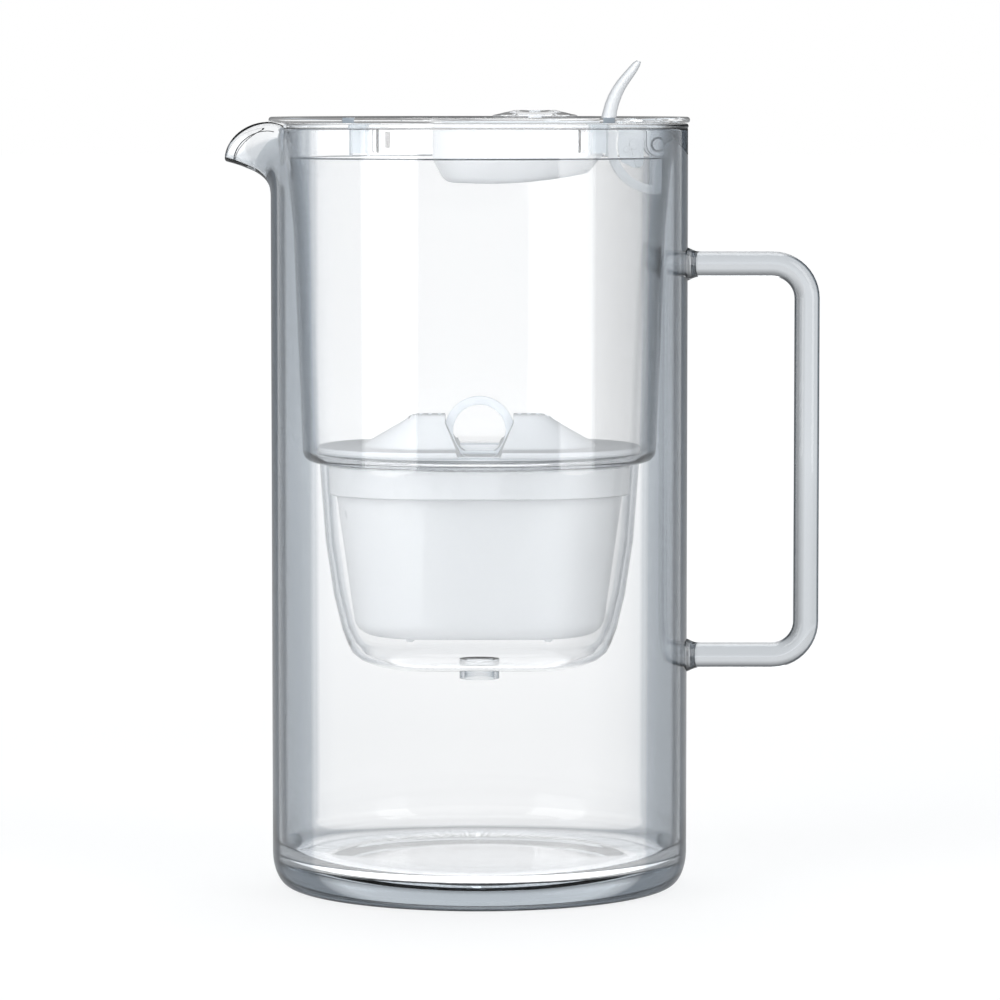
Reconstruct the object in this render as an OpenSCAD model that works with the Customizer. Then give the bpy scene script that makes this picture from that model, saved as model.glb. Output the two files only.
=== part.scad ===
// Water filter pitcher with a flip lid: a glass jug with a fused rod handle, a clear funnel tank,
// a lift-out oval filter cartridge and a lid whose filling hatch swings on gooseneck arms.
// +Z is up, X runs from the spout (-X) to the handle (+X), and the origin is the middle of the base.

/* [Glass jug] */
// Outer diameter of the jug
jug_d = 135; // [120:1:150]
// Height of the jug's rim
jug_h = 245.5; // [230:0.5:260]
// Thickness of the side wall
jug_wall = 2.4; // [1.8:0.1:3.2]
// Thickness of the base
jug_base = 8.5; // [6:0.5:11]
// Outer radius of the corner between side and base
jug_corner = 8; // [6:0.5:10]

/* [Spout] */
// How far the lip reaches out from the side wall
spout_reach = 14.2; // [10:0.1:16]
// Half width of the spout where it leaves the rim
spout_half_w = 24; // [16:1:28]
// Height over which the wall is drawn out
spout_drop = 25.5; // [20:0.5:30]
// Radius of the lip's quarter round, seen from the side
spout_arc = 13.7; // [12:0.1:16]
// How far the rim rises beside the spout
spout_rise = 1.9; // [1:0.1:1.9]

/* [Glass handle] */
// Diameter of the glass rod
rod_d = 8.2; // [7:0.1:10]
// Reach of the rod's centre line from the jug's wall
handle_reach = 38.8; // [32:0.1:46]
// Height of the upper arm's centre line
handle_top = 201.9; // [180:0.1:215]
// Height of the lower arm's centre line
handle_low = 74.5; // [50:0.1:95]
// Bend radius of the rod's centre line
handle_bend = 11.2; // [8:0.1:16]
// Radius of the fused end where it meets the jug
weld_r = 5.4; // [5.1:0.1:6.5]

/* [Funnel tank] */
// Thickness of the moulded wall
tank_wall = 1.2; // [1:0.1:1.4]
// Gap between the neck and the jug's inside
neck_gap = 1.8; // [1.6:0.1:2]
// How much narrower the tank is at its step than at its neck
tank_taper = 5.9; // [5:0.1:6.3]
// Height of the step's underside
step_z = 138.3; // [130:0.1:145]
// Thickness of the flange that rests on the rim
flange_h = 1.9; // [1.6:0.1:2]
// How far the flange reaches past the jug's wall
flange_over = 0.2; // [-0.8:0.1:0.4]
// Ledge between the tank's wall and the ends of the oval cup
cup_ledge = 5.4; // [4.6:0.1:6]
// Depth of the oval cup below the step
cup_depth = 68.4; // [66:0.1:72]
// Outer radius of the outlet
outlet_r = 6.5; // [6:0.1:8]
// Height of the outlet's short pipe
outlet_h = 2.8; // [2:0.1:5]

/* [Cartridge] */
// Half length of the straight sides of the oval
oval_half = 16; // [15:0.5:17]
// How far the case stands in from the cup's mouth
case_inset = 7.5; // [7:0.1:8.5]
// How much narrower the case is at its bottom
case_taper = 3.9; // [2.5:0.1:6]
// Height of the case below the flange
case_h = 59.6; // [57:0.1:60.5]
// Wall of the case
case_wall = 1.5; // [1.2:0.1:2]
// Height of the collar
collar_h = 9.3; // [7:0.1:11]
// Drop from the flange to the collar's lower edge
collar_drop = 13.4; // [11.5:0.1:15]
// Thickness of the collar
collar_t = 2.3; // [1.5:0.1:2.6]
// Thickness of the seal under the flange
seal_h = 1; // [0.8:0.1:1.5]
// Thickness of the cap's flange
cap_flange = 1.8; // [1.4:0.1:2.2]
// Height of the cap's mound
mound_h = 10.3; // [8:0.1:12]
// Radius of the hole in the pull ring
ring_hole = 8.5; // [8:0.1:9]
// Width of the pull ring's band
ring_band = 2.8; // [2:0.1:3]
// Thickness of the pull ring
ring_t = 2.4; // [1.8:0.1:3]

/* [Lid] */
// How far the lid reaches past the jug's wall
lid_over = 0.6; // [0.2:0.1:1]
// Thickness of the lid's plate
lid_t = 1.8; // [1.7:0.1:2]
// Depth of the skirt
skirt_h = 11.4; // [9:0.1:13]
// Thickness of the skirt
skirt_t = 1.6; // [1.2:0.1:1.8]
// Gap round the skirt
skirt_gap = 0.35; // [0.3:0.05:0.4]
// Width of a rim notch
notch_w = 4.9; // [4:0.1:6]
// Angle of each rim notch from the X axis
notch_angle = 53; // [45:1:60]
// Width of a snap tongue
tongue_w = 5.4; // [4:0.1:6]

/* [Hatch] */
// Distance of the filling hole's centre from the hinge pin
hinge_reach = 44.9; // [44.3:0.1:46]
// Radius of the filling hole
hole_r = 29.4; // [29:0.1:30]
// Thickness of the hatch plate
hatch_t = 1.2; // [1:0.1:1.3]
// Overlap of the hatch plate round the hole
hatch_lap = 2.6; // [2:0.1:3]
// Gap between the splash bowl and the filling hole
bowl_gap = 1.8; // [1.6:0.1:3]
// Depth of the splash bowl
bowl_h = 20.1; // [16:0.1:21]
// Wall of the splash bowl
bowl_wall = 1.4; // [1:0.1:2]
// Height of the thumb lever above the lid
lever_h = 18.2; // [14:0.1:20]
// Width of the thumb lever
lever_w = 17; // [12:0.5:19]

/* [Hinge] */
// How far the hinge pin stands in from the skirt
pin_inset = 4.45; // [4.3:0.05:4.7]
// Depth of the pin's centre below the lid's top
pin_drop = 8.9; // [8.5:0.1:9.2]
// Radius of the hinge pin
pin_r = 2.15; // [1.8:0.05:2.3]
// Running clearance round the pin
pin_clear = 0.06; // [0.03:0.01:0.1]
// Outer radius of the gooseneck
neck_outer = 16; // [15.8:0.1:16.2]
// Width of the gooseneck band
neck_band = 2.8; // [2.4:0.1:3]
// Thickness of a gooseneck arm
arm_t = 3; // [2:0.1:3.4]
// Thickness of a hinge lug
lug_t = 2.5; // [2:0.1:2.6]
// Half width of a hinge lug
lug_half = 3.8; // [3.4:0.1:3.9]

/* [Dial] */
// Distance of the reminder dial from the filling hole's centre
dial_shift = 5.6; // [2:0.2:9]
// Radius of the reminder dial
dial_r = 13.8; // [11:0.1:15]
// Height of the reminder dial
dial_h = 2; // [1.8:0.1:3]
// Radius of the dial's finger well
well_r = 5.7; // [4.5:0.1:6.5]
// Radius of the dial's post
post_r = 2.2; // [1.6:0.1:2.6]

/* [Hidden] */

$fn = 96;
eps = 0.01;
seat = 0.1;          // gap between faces that rest on each other across a joint
far = 200;           // reach of the cutting blocks

jug_r = jug_d / 2;
jug_in = jug_r - jug_wall;
floor_corner = 7.8;
rim_round = 1;

spout_half = asin(spout_half_w / jug_r);
spout_z = jug_h + spout_rise - spout_drop;
lip_z = jug_h + spout_rise - spout_arc;
spout_cols = 22;
spout_rows = 11;
spout_tuck = 0.05;   // how far the drawn skin lies inside the turned wall where they run into each other
spout_sink = 0.3;    // how far its ends lie below the round rim
spout_lap = 0.8;     // angle by which it runs into the wall on each side

handle_weld = jug_r;
handle_x = jug_r + handle_reach;

flange_z = jug_h + seat;
tank_top = flange_z + flange_h;
step_fillet = 3.5;
neck_r = jug_in - neck_gap;
tank_low_r = neck_r - tank_taper;
flange_r = jug_r + flange_over;
cup_mouth = tank_low_r - cup_ledge - oval_half;   // end radius of the cup's outside at the step
tank_in = neck_r - tank_wall;
// The tank's wall above the step: how much narrower than the neck, and how far below the flange
tank_steps = [[3.1, 32.2], [1.2, 12.2], [0, 8.2]];
// The oval cup's outside and inside: inset from the mouth's end radius, and height above its bottom
cup_outside = [[23.7, 0.6], [13.2, 3.6], [10.4, 6], [8.9, 9.1], [4.5, 25], [1.9, 42.5]];
cup_inside = [[24.9, 2.4], [14.4, 5.2], [10.7, 10.4], [6.3, 25], [3.7, 42.5]];
floor_t = 1.8;
floor_z = step_z + floor_t;
cup_wall = 1.8;
cup_z = step_z - cup_depth;
rib_r = jug_in - 0.4;
rib_h = 7;

seal_z = floor_z + seat;
cap_z = seal_z + seal_h;
cap_top = cap_z + cap_flange;
case_top = cap_z;
case_r = cup_mouth - case_inset;
case_low_r = case_r - case_taper;
case_z = case_top - case_h;
collar_z = case_top - collar_drop;
flange_end = cup_mouth + 0.6;
ring_z = cap_z + 6.6;
mound_low = case_r - 6.9;
mound_high = 5;
mound_wall = 1.6;
valley_r = ring_hole + 1.1;
slot_w = 1.2;        // width of a water slot in the cap
slot_l = 6.8;        // length of a water slot in the cap
pad_t = 4;
screen_t = 0.8;
fit = 0.15;          // gap round a piece that drops into the case

plate_z = tank_top + 0.2;
lid_top = plate_z + lid_t;
lid_r = jug_r + lid_over;
skirt_r = tank_in - skirt_gap;
collar_low = lid_top - 3.6;
pin_x = skirt_r - pin_inset;
hole_x = pin_x - hinge_reach;
dial_x = hole_x + dial_shift;
hatch_z = lid_top - hatch_t;
hatch_r = hole_r + hatch_lap;
recess_gap = 0.4;
recess_shift = 0.7;  // extra room behind the hatch, which its rear edge swings through
tab_half = 10;       // half width of the hatch's rear tab
pin_z = lid_top - pin_drop;
tab_end = pin_x - 8.3;
recess_end = pin_x - 6.5;
arm_in = 1.9;        // inner face of each gooseneck arm
lug_in = arm_in + arm_t + 0.5;
slot_in = arm_in - 0.5;
slot_out = arm_in + arm_t + 0.5;
slot_far = pin_x - sqrt(pow(neck_outer, 2) - pow(pin_drop - lid_t, 2)) - 1.4;
slot_near = pin_x - sqrt(pow(neck_outer - neck_band, 2) - pow(pin_drop, 2)) + 0.9;
skirt_cut = lug_in + lug_t + 0.6;
pin_half = lug_in + lug_t + 0.2;
stop_r = neck_outer - neck_band - 0.7;   // reach of the stop web from the pin
stop_t = 2 * arm_in - 1.2;               // thickness of its boss and peg
bowl_z = hatch_z - bowl_h;
bowl_r = hole_r - bowl_gap;
lever_x = tab_end - 9.5;

post_head = 3.4;
dial_z = lid_top + 0.2;

// --- shapes used by more than one piece ---

// Right half of a cup's outline with a rounded lower corner
module cup_profile(low_r, top_r, z0, z1, corner) {
    steps = 8;
    lean = (top_r - low_r) / (z1 - z0 - corner);
    arc = [for (i = [0:steps]) let (a = 90 * i / steps)
        [low_r - corner + corner * sin(a), z0 + corner - corner * cos(a)]];
    polygon(concat([[0, z0]], arc, [[low_r + lean * (z1 - z0 - corner), z1], [0, z1]]));
}

// An oval solid: two half revolves of the outline joined by a straight run along X
module oval(half) {
    for (side = [-1, 1])
        translate([side * half, 0, 0])
            rotate([0, 0, side * 90 - 180])
                rotate_extrude(angle = 180)
                    children();
    rotate([90, 0, 90])
        linear_extrude(2 * half, center = true) {
            children();
            mirror([1, 0]) children();
        }
}

// A wedge round the spout's side of the jug
module spout_wedge(half, z0, z1, reach) {
    translate([0, 0, z0])
        linear_extrude(z1 - z0)
            polygon([[0, 0],
                [-reach * cos(half), reach * sin(half)],
                [-reach * 1.2, 0],
                [-reach * cos(half), -reach * sin(half)]]);
}

// --- glass jug ---

// Reach of the drawn lip at a share t of the half width
function spout_pull(t) = spout_reach * pow(max(0, 1 - t * t), 1.5);

// Height of the lip at a share t of the half width
function lip_height(t) = lip_z + sqrt(max(0, pow(spout_arc, 2) - pow(spout_pull(t) * 0.96, 2)))
    - (spout_rise + spout_sink) * pow(t, 6);

// A point of the spout's outer skin: t across, s from the foot (0) to the lip (1)
function spout_skin(t, s) = let (
        a = 180 + t * spout_half,
        r = jug_r - spout_tuck + spout_pull(t) * pow(s, 3.6))
    [r * cos(a), r * sin(a), spout_z + s * (lip_height(t) - spout_z)];

function unit(v) = v / norm(v);

// The same point moved inwards by the wall
function spout_inner(t, s) = let (
        skin = jug_wall - 2 * spout_tuck,
        h = 0.002,
        s1 = min(s, 1 - h),
        t1 = max(-1 + h, min(1 - h, t)),
        p = spout_skin(t, s),
        du = spout_skin(t1 + h, s1) - spout_skin(t1 - h, s1),
        dv = spout_skin(t1, s1 + h) - spout_skin(t1, s1 - h < 0 ? 0 : s1 - h),
        n = unit(cross(du, dv)))
    abs(t) > 0.999 || s < 0.001
        ? [p[0] * (1 - skin / jug_r), p[1] * (1 - skin / jug_r), p[2]]
        : [p[0] - n[0] * skin, p[1] - n[1] * skin, s > 0.999 ? p[2] : p[2] - n[2] * skin];

// The drawn part of the wall as one closed shell
module spout_shell() {
    nu = spout_cols;
    nv = spout_rows;
    row = nu + 1;
    skin = [for (j = [0:nv]) for (i = [0:nu]) spout_skin(2 * i / nu - 1, j / nv)];
    core = [for (j = [0:nv]) for (i = [0:nu]) spout_inner(2 * i / nu - 1, j / nv)];
    n = len(skin);
    outer = [for (j = [0:nv - 1]) for (i = [0:nu - 1]) let (a = j * row + i)
        each [[a, a + 1, a + row + 1], [a, a + row + 1, a + row]]];
    inner = [for (j = [0:nv - 1]) for (i = [0:nu - 1]) let (a = n + j * row + i)
        each [[a, a + row + 1, a + 1], [a, a + row, a + row + 1]]];
    top = [for (i = [0:nu - 1]) let (a = nv * row + i)
        each [[a, a + 1, n + a + 1], [a, n + a + 1, n + a]]];
    bottom = [for (i = [0:nu - 1])
        each [[i, n + i + 1, i + 1], [i, n + i, n + i + 1]]];
    ends = [for (j = [0:nv - 1]) let (a = j * row, b = j * row + nu)
        each [[a, a + row, n + a], [a + row, n + a + row, n + a],
            [b, n + b, b + row], [b + row, n + b, n + b + row]]];
    faces = concat(outer, inner, top, bottom, ends);
    polyhedron(concat(skin, core), [for (f = faces) [f[2], f[1], f[0]]]);
}

module jug_outline() {
    difference() {
        union() {
            cup_profile(jug_r, jug_r, 0, jug_h - rim_round, jug_corner);
            translate([0, jug_h - 2 * rim_round]) square([jug_r - rim_round, 2 * rim_round]);
            translate([jug_r - rim_round, jug_h - rim_round]) circle(rim_round);
        }
        cup_profile(jug_in, jug_in, jug_base, jug_h + 1, floor_corner);
    }
}

module glass_jug() {
    color([0.86, 0.90, 0.92, 0.35]) {
        difference() {
            rotate_extrude() jug_outline();
            spout_wedge(spout_half - spout_lap, spout_z + 1, jug_h + 5, 2 * jug_r);
            cylinder(h = 2 * jug_base, r = far, center = true);
        }
        spout_shell();
    }
}

// The thick lower end of the same glass, below the level of its floor
module glass_base() {
    color([0.82, 0.87, 0.90, 0.45])
    rotate_extrude()
        intersection() {
            jug_outline();
            square([far, jug_base]);
        }
}

// --- glass handle ---

// One arm of the handle, from inside the jug's wall to the bend
module handle_arm(z) {
    translate([jug_in, 0, z])
        rotate([0, 90, 0])
            cylinder(h = handle_x - handle_bend - jug_in, r = rod_d / 2);
    translate([jug_in, 0, z])
        rotate([0, 90, 0])
            cylinder(h = jug_wall + 2.6, r1 = weld_r + 1, r2 = rod_d / 2);
}

// One bend of the handle, from the arm's direction to the grip's
module handle_elbow(z, turn) {
    translate([handle_x - handle_bend, 0, z - turn * handle_bend])
        rotate([turn * 90, 0, 0])
            rotate_extrude(angle = 90)
                translate([handle_bend, 0]) circle(rod_d / 2);
}

module glass_handle() {
    color([0.88, 0.91, 0.93, 0.35])
    difference() {
        union() {
            handle_arm(handle_top);
            handle_arm(handle_low);
            handle_elbow(handle_top, 1);
            handle_elbow(handle_low, -1);
            translate([handle_x, 0, handle_low + handle_bend])
                cylinder(h = handle_top - handle_low - 2 * handle_bend, r = rod_d / 2);
        }
        cylinder(h = 2 * jug_h, r = handle_weld);
    }
}

// --- funnel tank ---

module tank_outline() {
    polygon([[0, step_z],
        for (i = [0:6]) let (a = 15 * i)
            [tank_low_r - step_fillet + step_fillet * sin(a),
                step_z + step_fillet - step_fillet * cos(a)],
        for (s = tank_steps) [neck_r - s[0], flange_z - s[1]],
        [neck_r, flange_z],
        [flange_r - 0.6, flange_z],
        [flange_r, flange_z + flange_h / 2],
        [flange_r - 0.6, tank_top],
        [0, tank_top]]);
}

module tank_hollow() {
    polygon([[0, floor_z],
        for (i = [0:6]) let (a = 15 * i, f = step_fillet - tank_wall)
            [tank_low_r - step_fillet + f * sin(a), floor_z + f - f * cos(a)],
        for (s = tank_steps) [tank_in - s[0], flange_z - s[1]],
        [tank_in, tank_top + 1],
        [0, tank_top + 1]]);
}

module cup_outline() {
    polygon([[0, cup_z],
        for (s = cup_outside) [cup_mouth - s[0], cup_z + s[1]],
        [cup_mouth, step_z + eps],
        [0, step_z + eps]]);
}

module cup_hollow() {
    polygon([[0, cup_z + cup_wall],
        for (s = cup_inside) [cup_mouth - s[0], cup_z + s[1]],
        [cup_mouth - cup_wall, floor_z + 1],
        [0, floor_z + 1]]);
}

module funnel_tank() {
    color([0.90, 0.93, 0.95, 0.3])
    difference() {
        union() {
            rotate_extrude() tank_outline();
            oval(oval_half) cup_outline();
            translate([0, 0, cup_z - outlet_h]) cylinder(h = outlet_h + cup_wall, r = outlet_r);
            tank_ribs();
        }
        rotate_extrude() tank_hollow();
        oval(oval_half) cup_hollow();
        translate([0, 0, cup_z - outlet_h - 1]) cylinder(h = 10, r = outlet_r - 1.6);
        difference() {
            spout_wedge(spout_half + 1, flange_z - 1, tank_top + 1, 2 * jug_r);
            cylinder(h = far * 2, r = neck_r + 0.5);
        }
    }
}

// Short upright ribs that centre the tank in the jug's mouth
module tank_ribs() {
    for (a = [0, 60, 120, 240, 300])
        rotate([0, 0, a])
            translate([neck_r - 0.8, -0.8, flange_z - rib_h])
                cube([rib_r - neck_r + 0.8, 1.6, rib_h]);
}

// --- cartridge ---

module case_outline(inset) {
    cup_profile(case_low_r - inset, case_r - inset, case_z + inset, case_top, 6.5 - inset / 2);
}

module cartridge_case() {
    color("white")
    difference() {
        union() {
            oval(oval_half) case_outline(0);
            for (x = [-22.2, 22.2])
                translate([x, 0, case_z - 1.2]) cylinder(h = 2, r1 = 0.9, r2 = 1.5);
        }
        difference() {
            oval(oval_half) case_outline(case_wall);
            translate([-far, -far, case_top - eps]) cube([2 * far, 2 * far, 1]);
        }
        translate([0, 0, case_top - 1]) oval(oval_half) square([case_r - case_wall, 2]);
        for (x = [-15:5:15])
            translate([x - 0.6, -14, case_z - 1]) cube([1.2, 28, case_wall + 2]);
    }
}

module cartridge_collar() {
    color("white")
    difference() {
        translate([0, 0, collar_z]) oval(oval_half) square([case_r + collar_t, collar_h]);
        oval(oval_half) case_outline(0);
    }
}

module cartridge_seal() {
    color([0.93, 0.94, 0.95])
    translate([0, 0, seal_z])
        difference() {
            oval(oval_half) square([flange_end - 0.6, seal_h]);
            translate([0, 0, -1]) oval(oval_half) square([cup_mouth - cup_wall - 3, seal_h + 2]);
        }
}

// Raised cap: flange, spigot, mound and the finger valley across it
module cap_mound(inset) {
    h = mound_h - inset;
    polygon([[0, 0], [mound_low + 1.5 - inset, 0], [mound_low - inset, 0.6],
        [mound_high + 2.2 - inset * 0.6, h - 0.8], [mound_high - inset * 0.6, h], [0, h]]);
}

module cartridge_cap() {
    color("white")
    difference() {
        union() {
            translate([0, 0, cap_z]) oval(oval_half) square([flange_end, cap_flange]);
            translate([0, 0, cap_top]) oval(oval_half) cap_mound(0);
            translate([0, 0, cap_z - 3]) oval(oval_half) square([case_r - case_wall - fit, 3 + eps]);
        }
        difference() {
            translate([0, 0, cap_top - eps]) oval(oval_half) cap_mound(mound_wall);
            valley(mound_wall);
        }
        translate([0, 0, cap_z - 4]) oval(oval_half) square([mound_low - mound_wall, 4 + cap_flange]);
        valley(0);
        translate([0, 0, ring_z]) rotate([90, 0, 0])
            cylinder(h = ring_t + 0.2, r = ring_hole + ring_band + 0.1, center = true);
        for (x = [13:3:22], side = [-1, 1])
            translate([side * x - slot_w / 2, -slot_l / 2, cap_top + mound_h - 3])
                cube([slot_w, slot_l, 4]);
    }
}

// The valley that lets fingers through the pull ring, and its floor skin
module valley(skin) {
    translate([0, 0, ring_z])
        rotate([90, 0, 0])
            difference() {
                union() {
                    cylinder(h = 2 * far, r = valley_r + skin, center = true);
                    translate([0, valley_r / 2 + 3, 0])
                        cube([2 * (valley_r + 1.5 + skin), valley_r + 2, 2 * far], center = true);
                }
                translate([0, -valley_r - far / 2 + 2.2 - skin, 0])
                    cube([far, far, 3 * far], center = true);
            }
}

module pull_ring() {
    color([0.92, 0.94, 0.96])
    translate([0, 0, ring_z])
        rotate([90, 0, 0])
            difference() {
                cylinder(h = ring_t, r = ring_hole + ring_band, center = true);
                difference() {
                    cylinder(h = ring_t + 1, r = ring_hole, center = true);
                    translate([0, -far / 2 - ring_hole + 1.9, 0]) cube([far, far, far], center = true);
                }
                translate([0, -far / 2 - ring_hole + 0.9, 0]) cube([far, far, far], center = true);
            }
}

// A slice of the inside of the case between two heights
module case_slice(z0, z1) {
    intersection() {
        oval(oval_half) case_outline(case_wall + fit);
        translate([-far, -far, z0]) cube([2 * far, 2 * far, z1 - z0]);
    }
}

module lower_screen() {
    color([0.85, 0.87, 0.88]) case_slice(case_z + case_wall + fit, case_z + case_wall + fit + screen_t);
}

module filter_media() {
    color([0.25, 0.26, 0.28])
        case_slice(case_z + case_wall + fit + screen_t, cap_z - 3.2 - screen_t - pad_t);
}

module felt_pad() {
    color([0.95, 0.95, 0.94]) case_slice(cap_z - 3.2 - screen_t - pad_t, cap_z - 3.2 - screen_t);
}

module upper_screen() {
    color([0.85, 0.87, 0.88]) case_slice(cap_z - 3.2 - screen_t, cap_z - 3.2);
}

// --- lid ---

// Outline of the hatch plate seen from above, grown by a gap
module hatch_outline(gap, tab) {
    union() {
        translate([hole_x, 0]) circle(hatch_r + gap);
        translate([hole_x, -tab_half - gap]) square([tab - hole_x, 2 * (tab_half + gap)]);
    }
}

module lid_cover() {
    color([0.93, 0.95, 0.96, 0.4])
    difference() {
        union() {
            translate([0, 0, plate_z]) cylinder(h = lid_t, r = lid_r);
            translate([0, 0, plate_z - skirt_h])
                difference() {
                    cylinder(h = skirt_h + eps, r = skirt_r);
                    translate([0, 0, -1]) cylinder(h = skirt_h + 1, r = skirt_r - skirt_t);
                }
            translate([0, 0, collar_low])
                linear_extrude(lid_top - collar_low - 0.2)
                    intersection() {
                        hatch_outline(2.6, recess_end + 2.4);
                        circle(skirt_r - 0.5);
                    }
        }
        for (shift = [0, recess_shift])
            translate([shift, 0, hatch_z - seat])
                linear_extrude(5) hatch_outline(recess_gap, recess_end - shift);
        translate([hole_x, 0, 0]) cylinder(h = 2 * far, r = hole_r);
        for (side = [-1, 1])
            translate([slot_far, side * (slot_in + slot_out) / 2 - (slot_out - slot_in) / 2, collar_low - 1])
                cube([slot_near - slot_far, slot_out - slot_in, 10]);
        for (a = [notch_angle, 180 - notch_angle, 180 + notch_angle, -notch_angle])
            rotate([0, 0, a]) {
                translate([lid_r - 2.6, -notch_w / 2, plate_z - 1]) cube([10, notch_w, 5]);
                translate([skirt_r - 5, -tongue_w / 2 - 0.8, plate_z - skirt_h + 1.2])
                    cube([10, tongue_w + 1.6, skirt_h - 1.2]);
            }
        translate([skirt_r - 8, -skirt_cut, plate_z - skirt_h - 1]) cube([20, 2 * skirt_cut, skirt_h + 1]);
    }
}

module snap_tongues() {
    color([0.93, 0.95, 0.96, 0.5])
    for (a = [notch_angle, 180 - notch_angle, 180 + notch_angle, -notch_angle])
        rotate([0, 0, a])
            intersection() {
                difference() {
                    cylinder(h = 2 * far, r = skirt_r - 0.1);
                    translate([0, 0, -1]) cylinder(h = 3 * far, r = skirt_r - skirt_t + 0.1);
                }
                translate([skirt_r - 6, -tongue_w / 2, plate_z - skirt_h + 2]) cube([10, tongue_w, skirt_h - 2]);
            }
}

module hinge_lugs() {
    color([0.93, 0.95, 0.96, 0.5])
    for (side = [-1, 1])
        translate([pin_x, side * (lug_in + lug_t / 2), pin_z])
            rotate([90, 0, 0])
                difference() {
                    union() {
                        cylinder(h = lug_t, r = lug_half, center = true);
                        translate([-lug_half, 0, -lug_t / 2]) cube([2 * lug_half, plate_z - pin_z, lug_t]);
                    }
                    cylinder(h = lug_t + 1, r = pin_r, center = true);
                }
}

module hinge_pin() {
    color([0.92, 0.93, 0.94])
    translate([pin_x, 0, pin_z])
        rotate([90, 0, 0])
            cylinder(h = 2 * pin_half, r = pin_r, center = true);
}

// Stop web between the arms, with its boss, its slanted rib and a small peg
module lever_stop() {
    boss_x = -7.2;
    top = collar_low - pin_z;
    arc = [for (a = [168:3:207]) stop_r * [cos(a), sin(a)]];
    color([0.93, 0.95, 0.96, 0.6])
    translate([pin_x, 0, pin_z])
        rotate([90, 0, 0])
            union() {
                linear_extrude(1.8, center = true)
                    polygon(concat([[-stop_r + 0.3, top]], arc,
                        [[-9.3, -6.5], [-7.4, -7.4], [-5.5, -7.5], [-4.4, -6.8], [-4, -5.4], [-4, top]]));
                translate([boss_x, 0, 0]) cylinder(h = stop_t, r = 1.6, center = true);
                translate([boss_x, 0, 0])
                    rotate([0, 0, 14])
                        translate([-1.2, -7.3, -1.2]) cube([2.4, 7.3, 2.4]);
                translate([boss_x - 2.5, -1.7, 0]) cylinder(h = stop_t, r = 0.9, center = true);
            }
}

// --- hatch ---

module hatch_plate() {
    color([0.94, 0.96, 0.97, 0.45])
    translate([0, 0, hatch_z])
        difference() {
            linear_extrude(hatch_t) hatch_outline(0, tab_end);
            translate([dial_x, 0, -1]) cylinder(h = hatch_t + 2, r = post_r);
        }
}

module hatch_gasket() {
    color([0.9, 0.92, 0.93])
    translate([hole_x, 0, hatch_z - 0.8])
        difference() {
            cylinder(h = 0.8, r = hole_r - 0.9);
            translate([0, 0, -1]) cylinder(h = 3, r = bowl_r + 0.1);
        }
}

module bowl_outline(inset) {
    r = bowl_r - inset;
    z = bowl_z + inset;
    polygon([[0, z], [r - 5.4, z], [r - 4.2, z + 0.6], [r - 3.2, z + 1.7], [r - 0.1, z + 7.3],
        [r, z + 8.5], [r, hatch_z + (inset > 0 ? 1 : 0)], [0, hatch_z + (inset > 0 ? 1 : 0)]]);
}

module splash_bowl() {
    color("white")
    translate([hole_x, 0, 0])
        difference() {
            rotate_extrude() bowl_outline(0);
            rotate_extrude() bowl_outline(bowl_wall);
        }
}

// One arm: a band concentric with the pin, a strut and an eye
module gooseneck_arm() {
    top = hatch_z - pin_z;
    difference() {
        union() {
            difference() {
                cylinder(h = arm_t, r = neck_outer);
                translate([0, 0, -1]) cylinder(h = arm_t + 2, r = neck_outer - neck_band);
                translate([0, -far / 2, -1]) cube([far, far, arm_t + 2]);
                translate([-far / 2, top, -1]) cube([far, far, arm_t + 2]);
            }
            translate([-1.6, -neck_outer + 0.4, 0]) cube([3.2, neck_outer - 0.4, arm_t]);
            cylinder(h = arm_t, r = lug_half - 0.4);
        }
        translate([0, 0, -1]) cylinder(h = arm_t + 2, r = pin_r + pin_clear);
    }
}

module gooseneck_arms() {
    color("white")
    for (y = [-arm_in, arm_in + arm_t])
        translate([pin_x, y, pin_z]) rotate([90, 0, 0]) gooseneck_arm();
}

// Curved blade of the thumb lever in side view
module lever_blade() {
    h = lever_h;
    polygon([[0, 0], [0.9, h * 0.2], [2.2, h * 0.38], [4.2, h * 0.56], [7.2, h * 0.77], [10.2, h * 0.97],
        [11.4, h], [12.9, h * 0.96], [10.9, h * 0.76], [8.9, h * 0.6], [6.9, h * 0.4],
        [5.5, h * 0.18], [4.8, 0]]);
}

module thumb_lever() {
    tip_r = 6;
    color([0.96, 0.97, 0.98])
    intersection() {
        translate([lever_x, 0, lid_top])
            rotate([90, 0, 0])
                linear_extrude(lever_w, center = true) lever_blade();
        translate([0, 0, lid_top])
            rotate([90, 0, 90])
                linear_extrude(far)
                    union() {
                        translate([-lever_w / 2, 0]) square([lever_w, lever_h - tip_r]);
                        translate([-lever_w / 2 + tip_r, 0]) square([lever_w - 2 * tip_r, lever_h]);
                        for (side = [-1, 1])
                            translate([side * (lever_w / 2 - tip_r), lever_h - tip_r]) circle(tip_r);
                    }
    }
}

module dial_post() {
    color([0.95, 0.96, 0.97])
    translate([dial_x, 0, hatch_z]) {
        cylinder(h = hatch_t + dial_h - 0.8, r = post_r);
        translate([0, 0, hatch_t + dial_h - 0.8]) cylinder(h = 0.7, r = post_head);
    }
}

// --- reminder dial ---

module reminder_dial() {
    h = dial_h;
    color([0.93, 0.95, 0.96, 0.5])
    translate([dial_x, 0, dial_z])
        rotate_extrude()
            polygon([[post_r + 0.08, 0], [dial_r, 0], [dial_r - 2, 0.5], [dial_r - 5, h * 0.75],
                [well_r + 1, h], [well_r, h], [well_r - 0.8, h - 1.3], [post_r + 0.08, h - 1.3]]);
}

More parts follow.
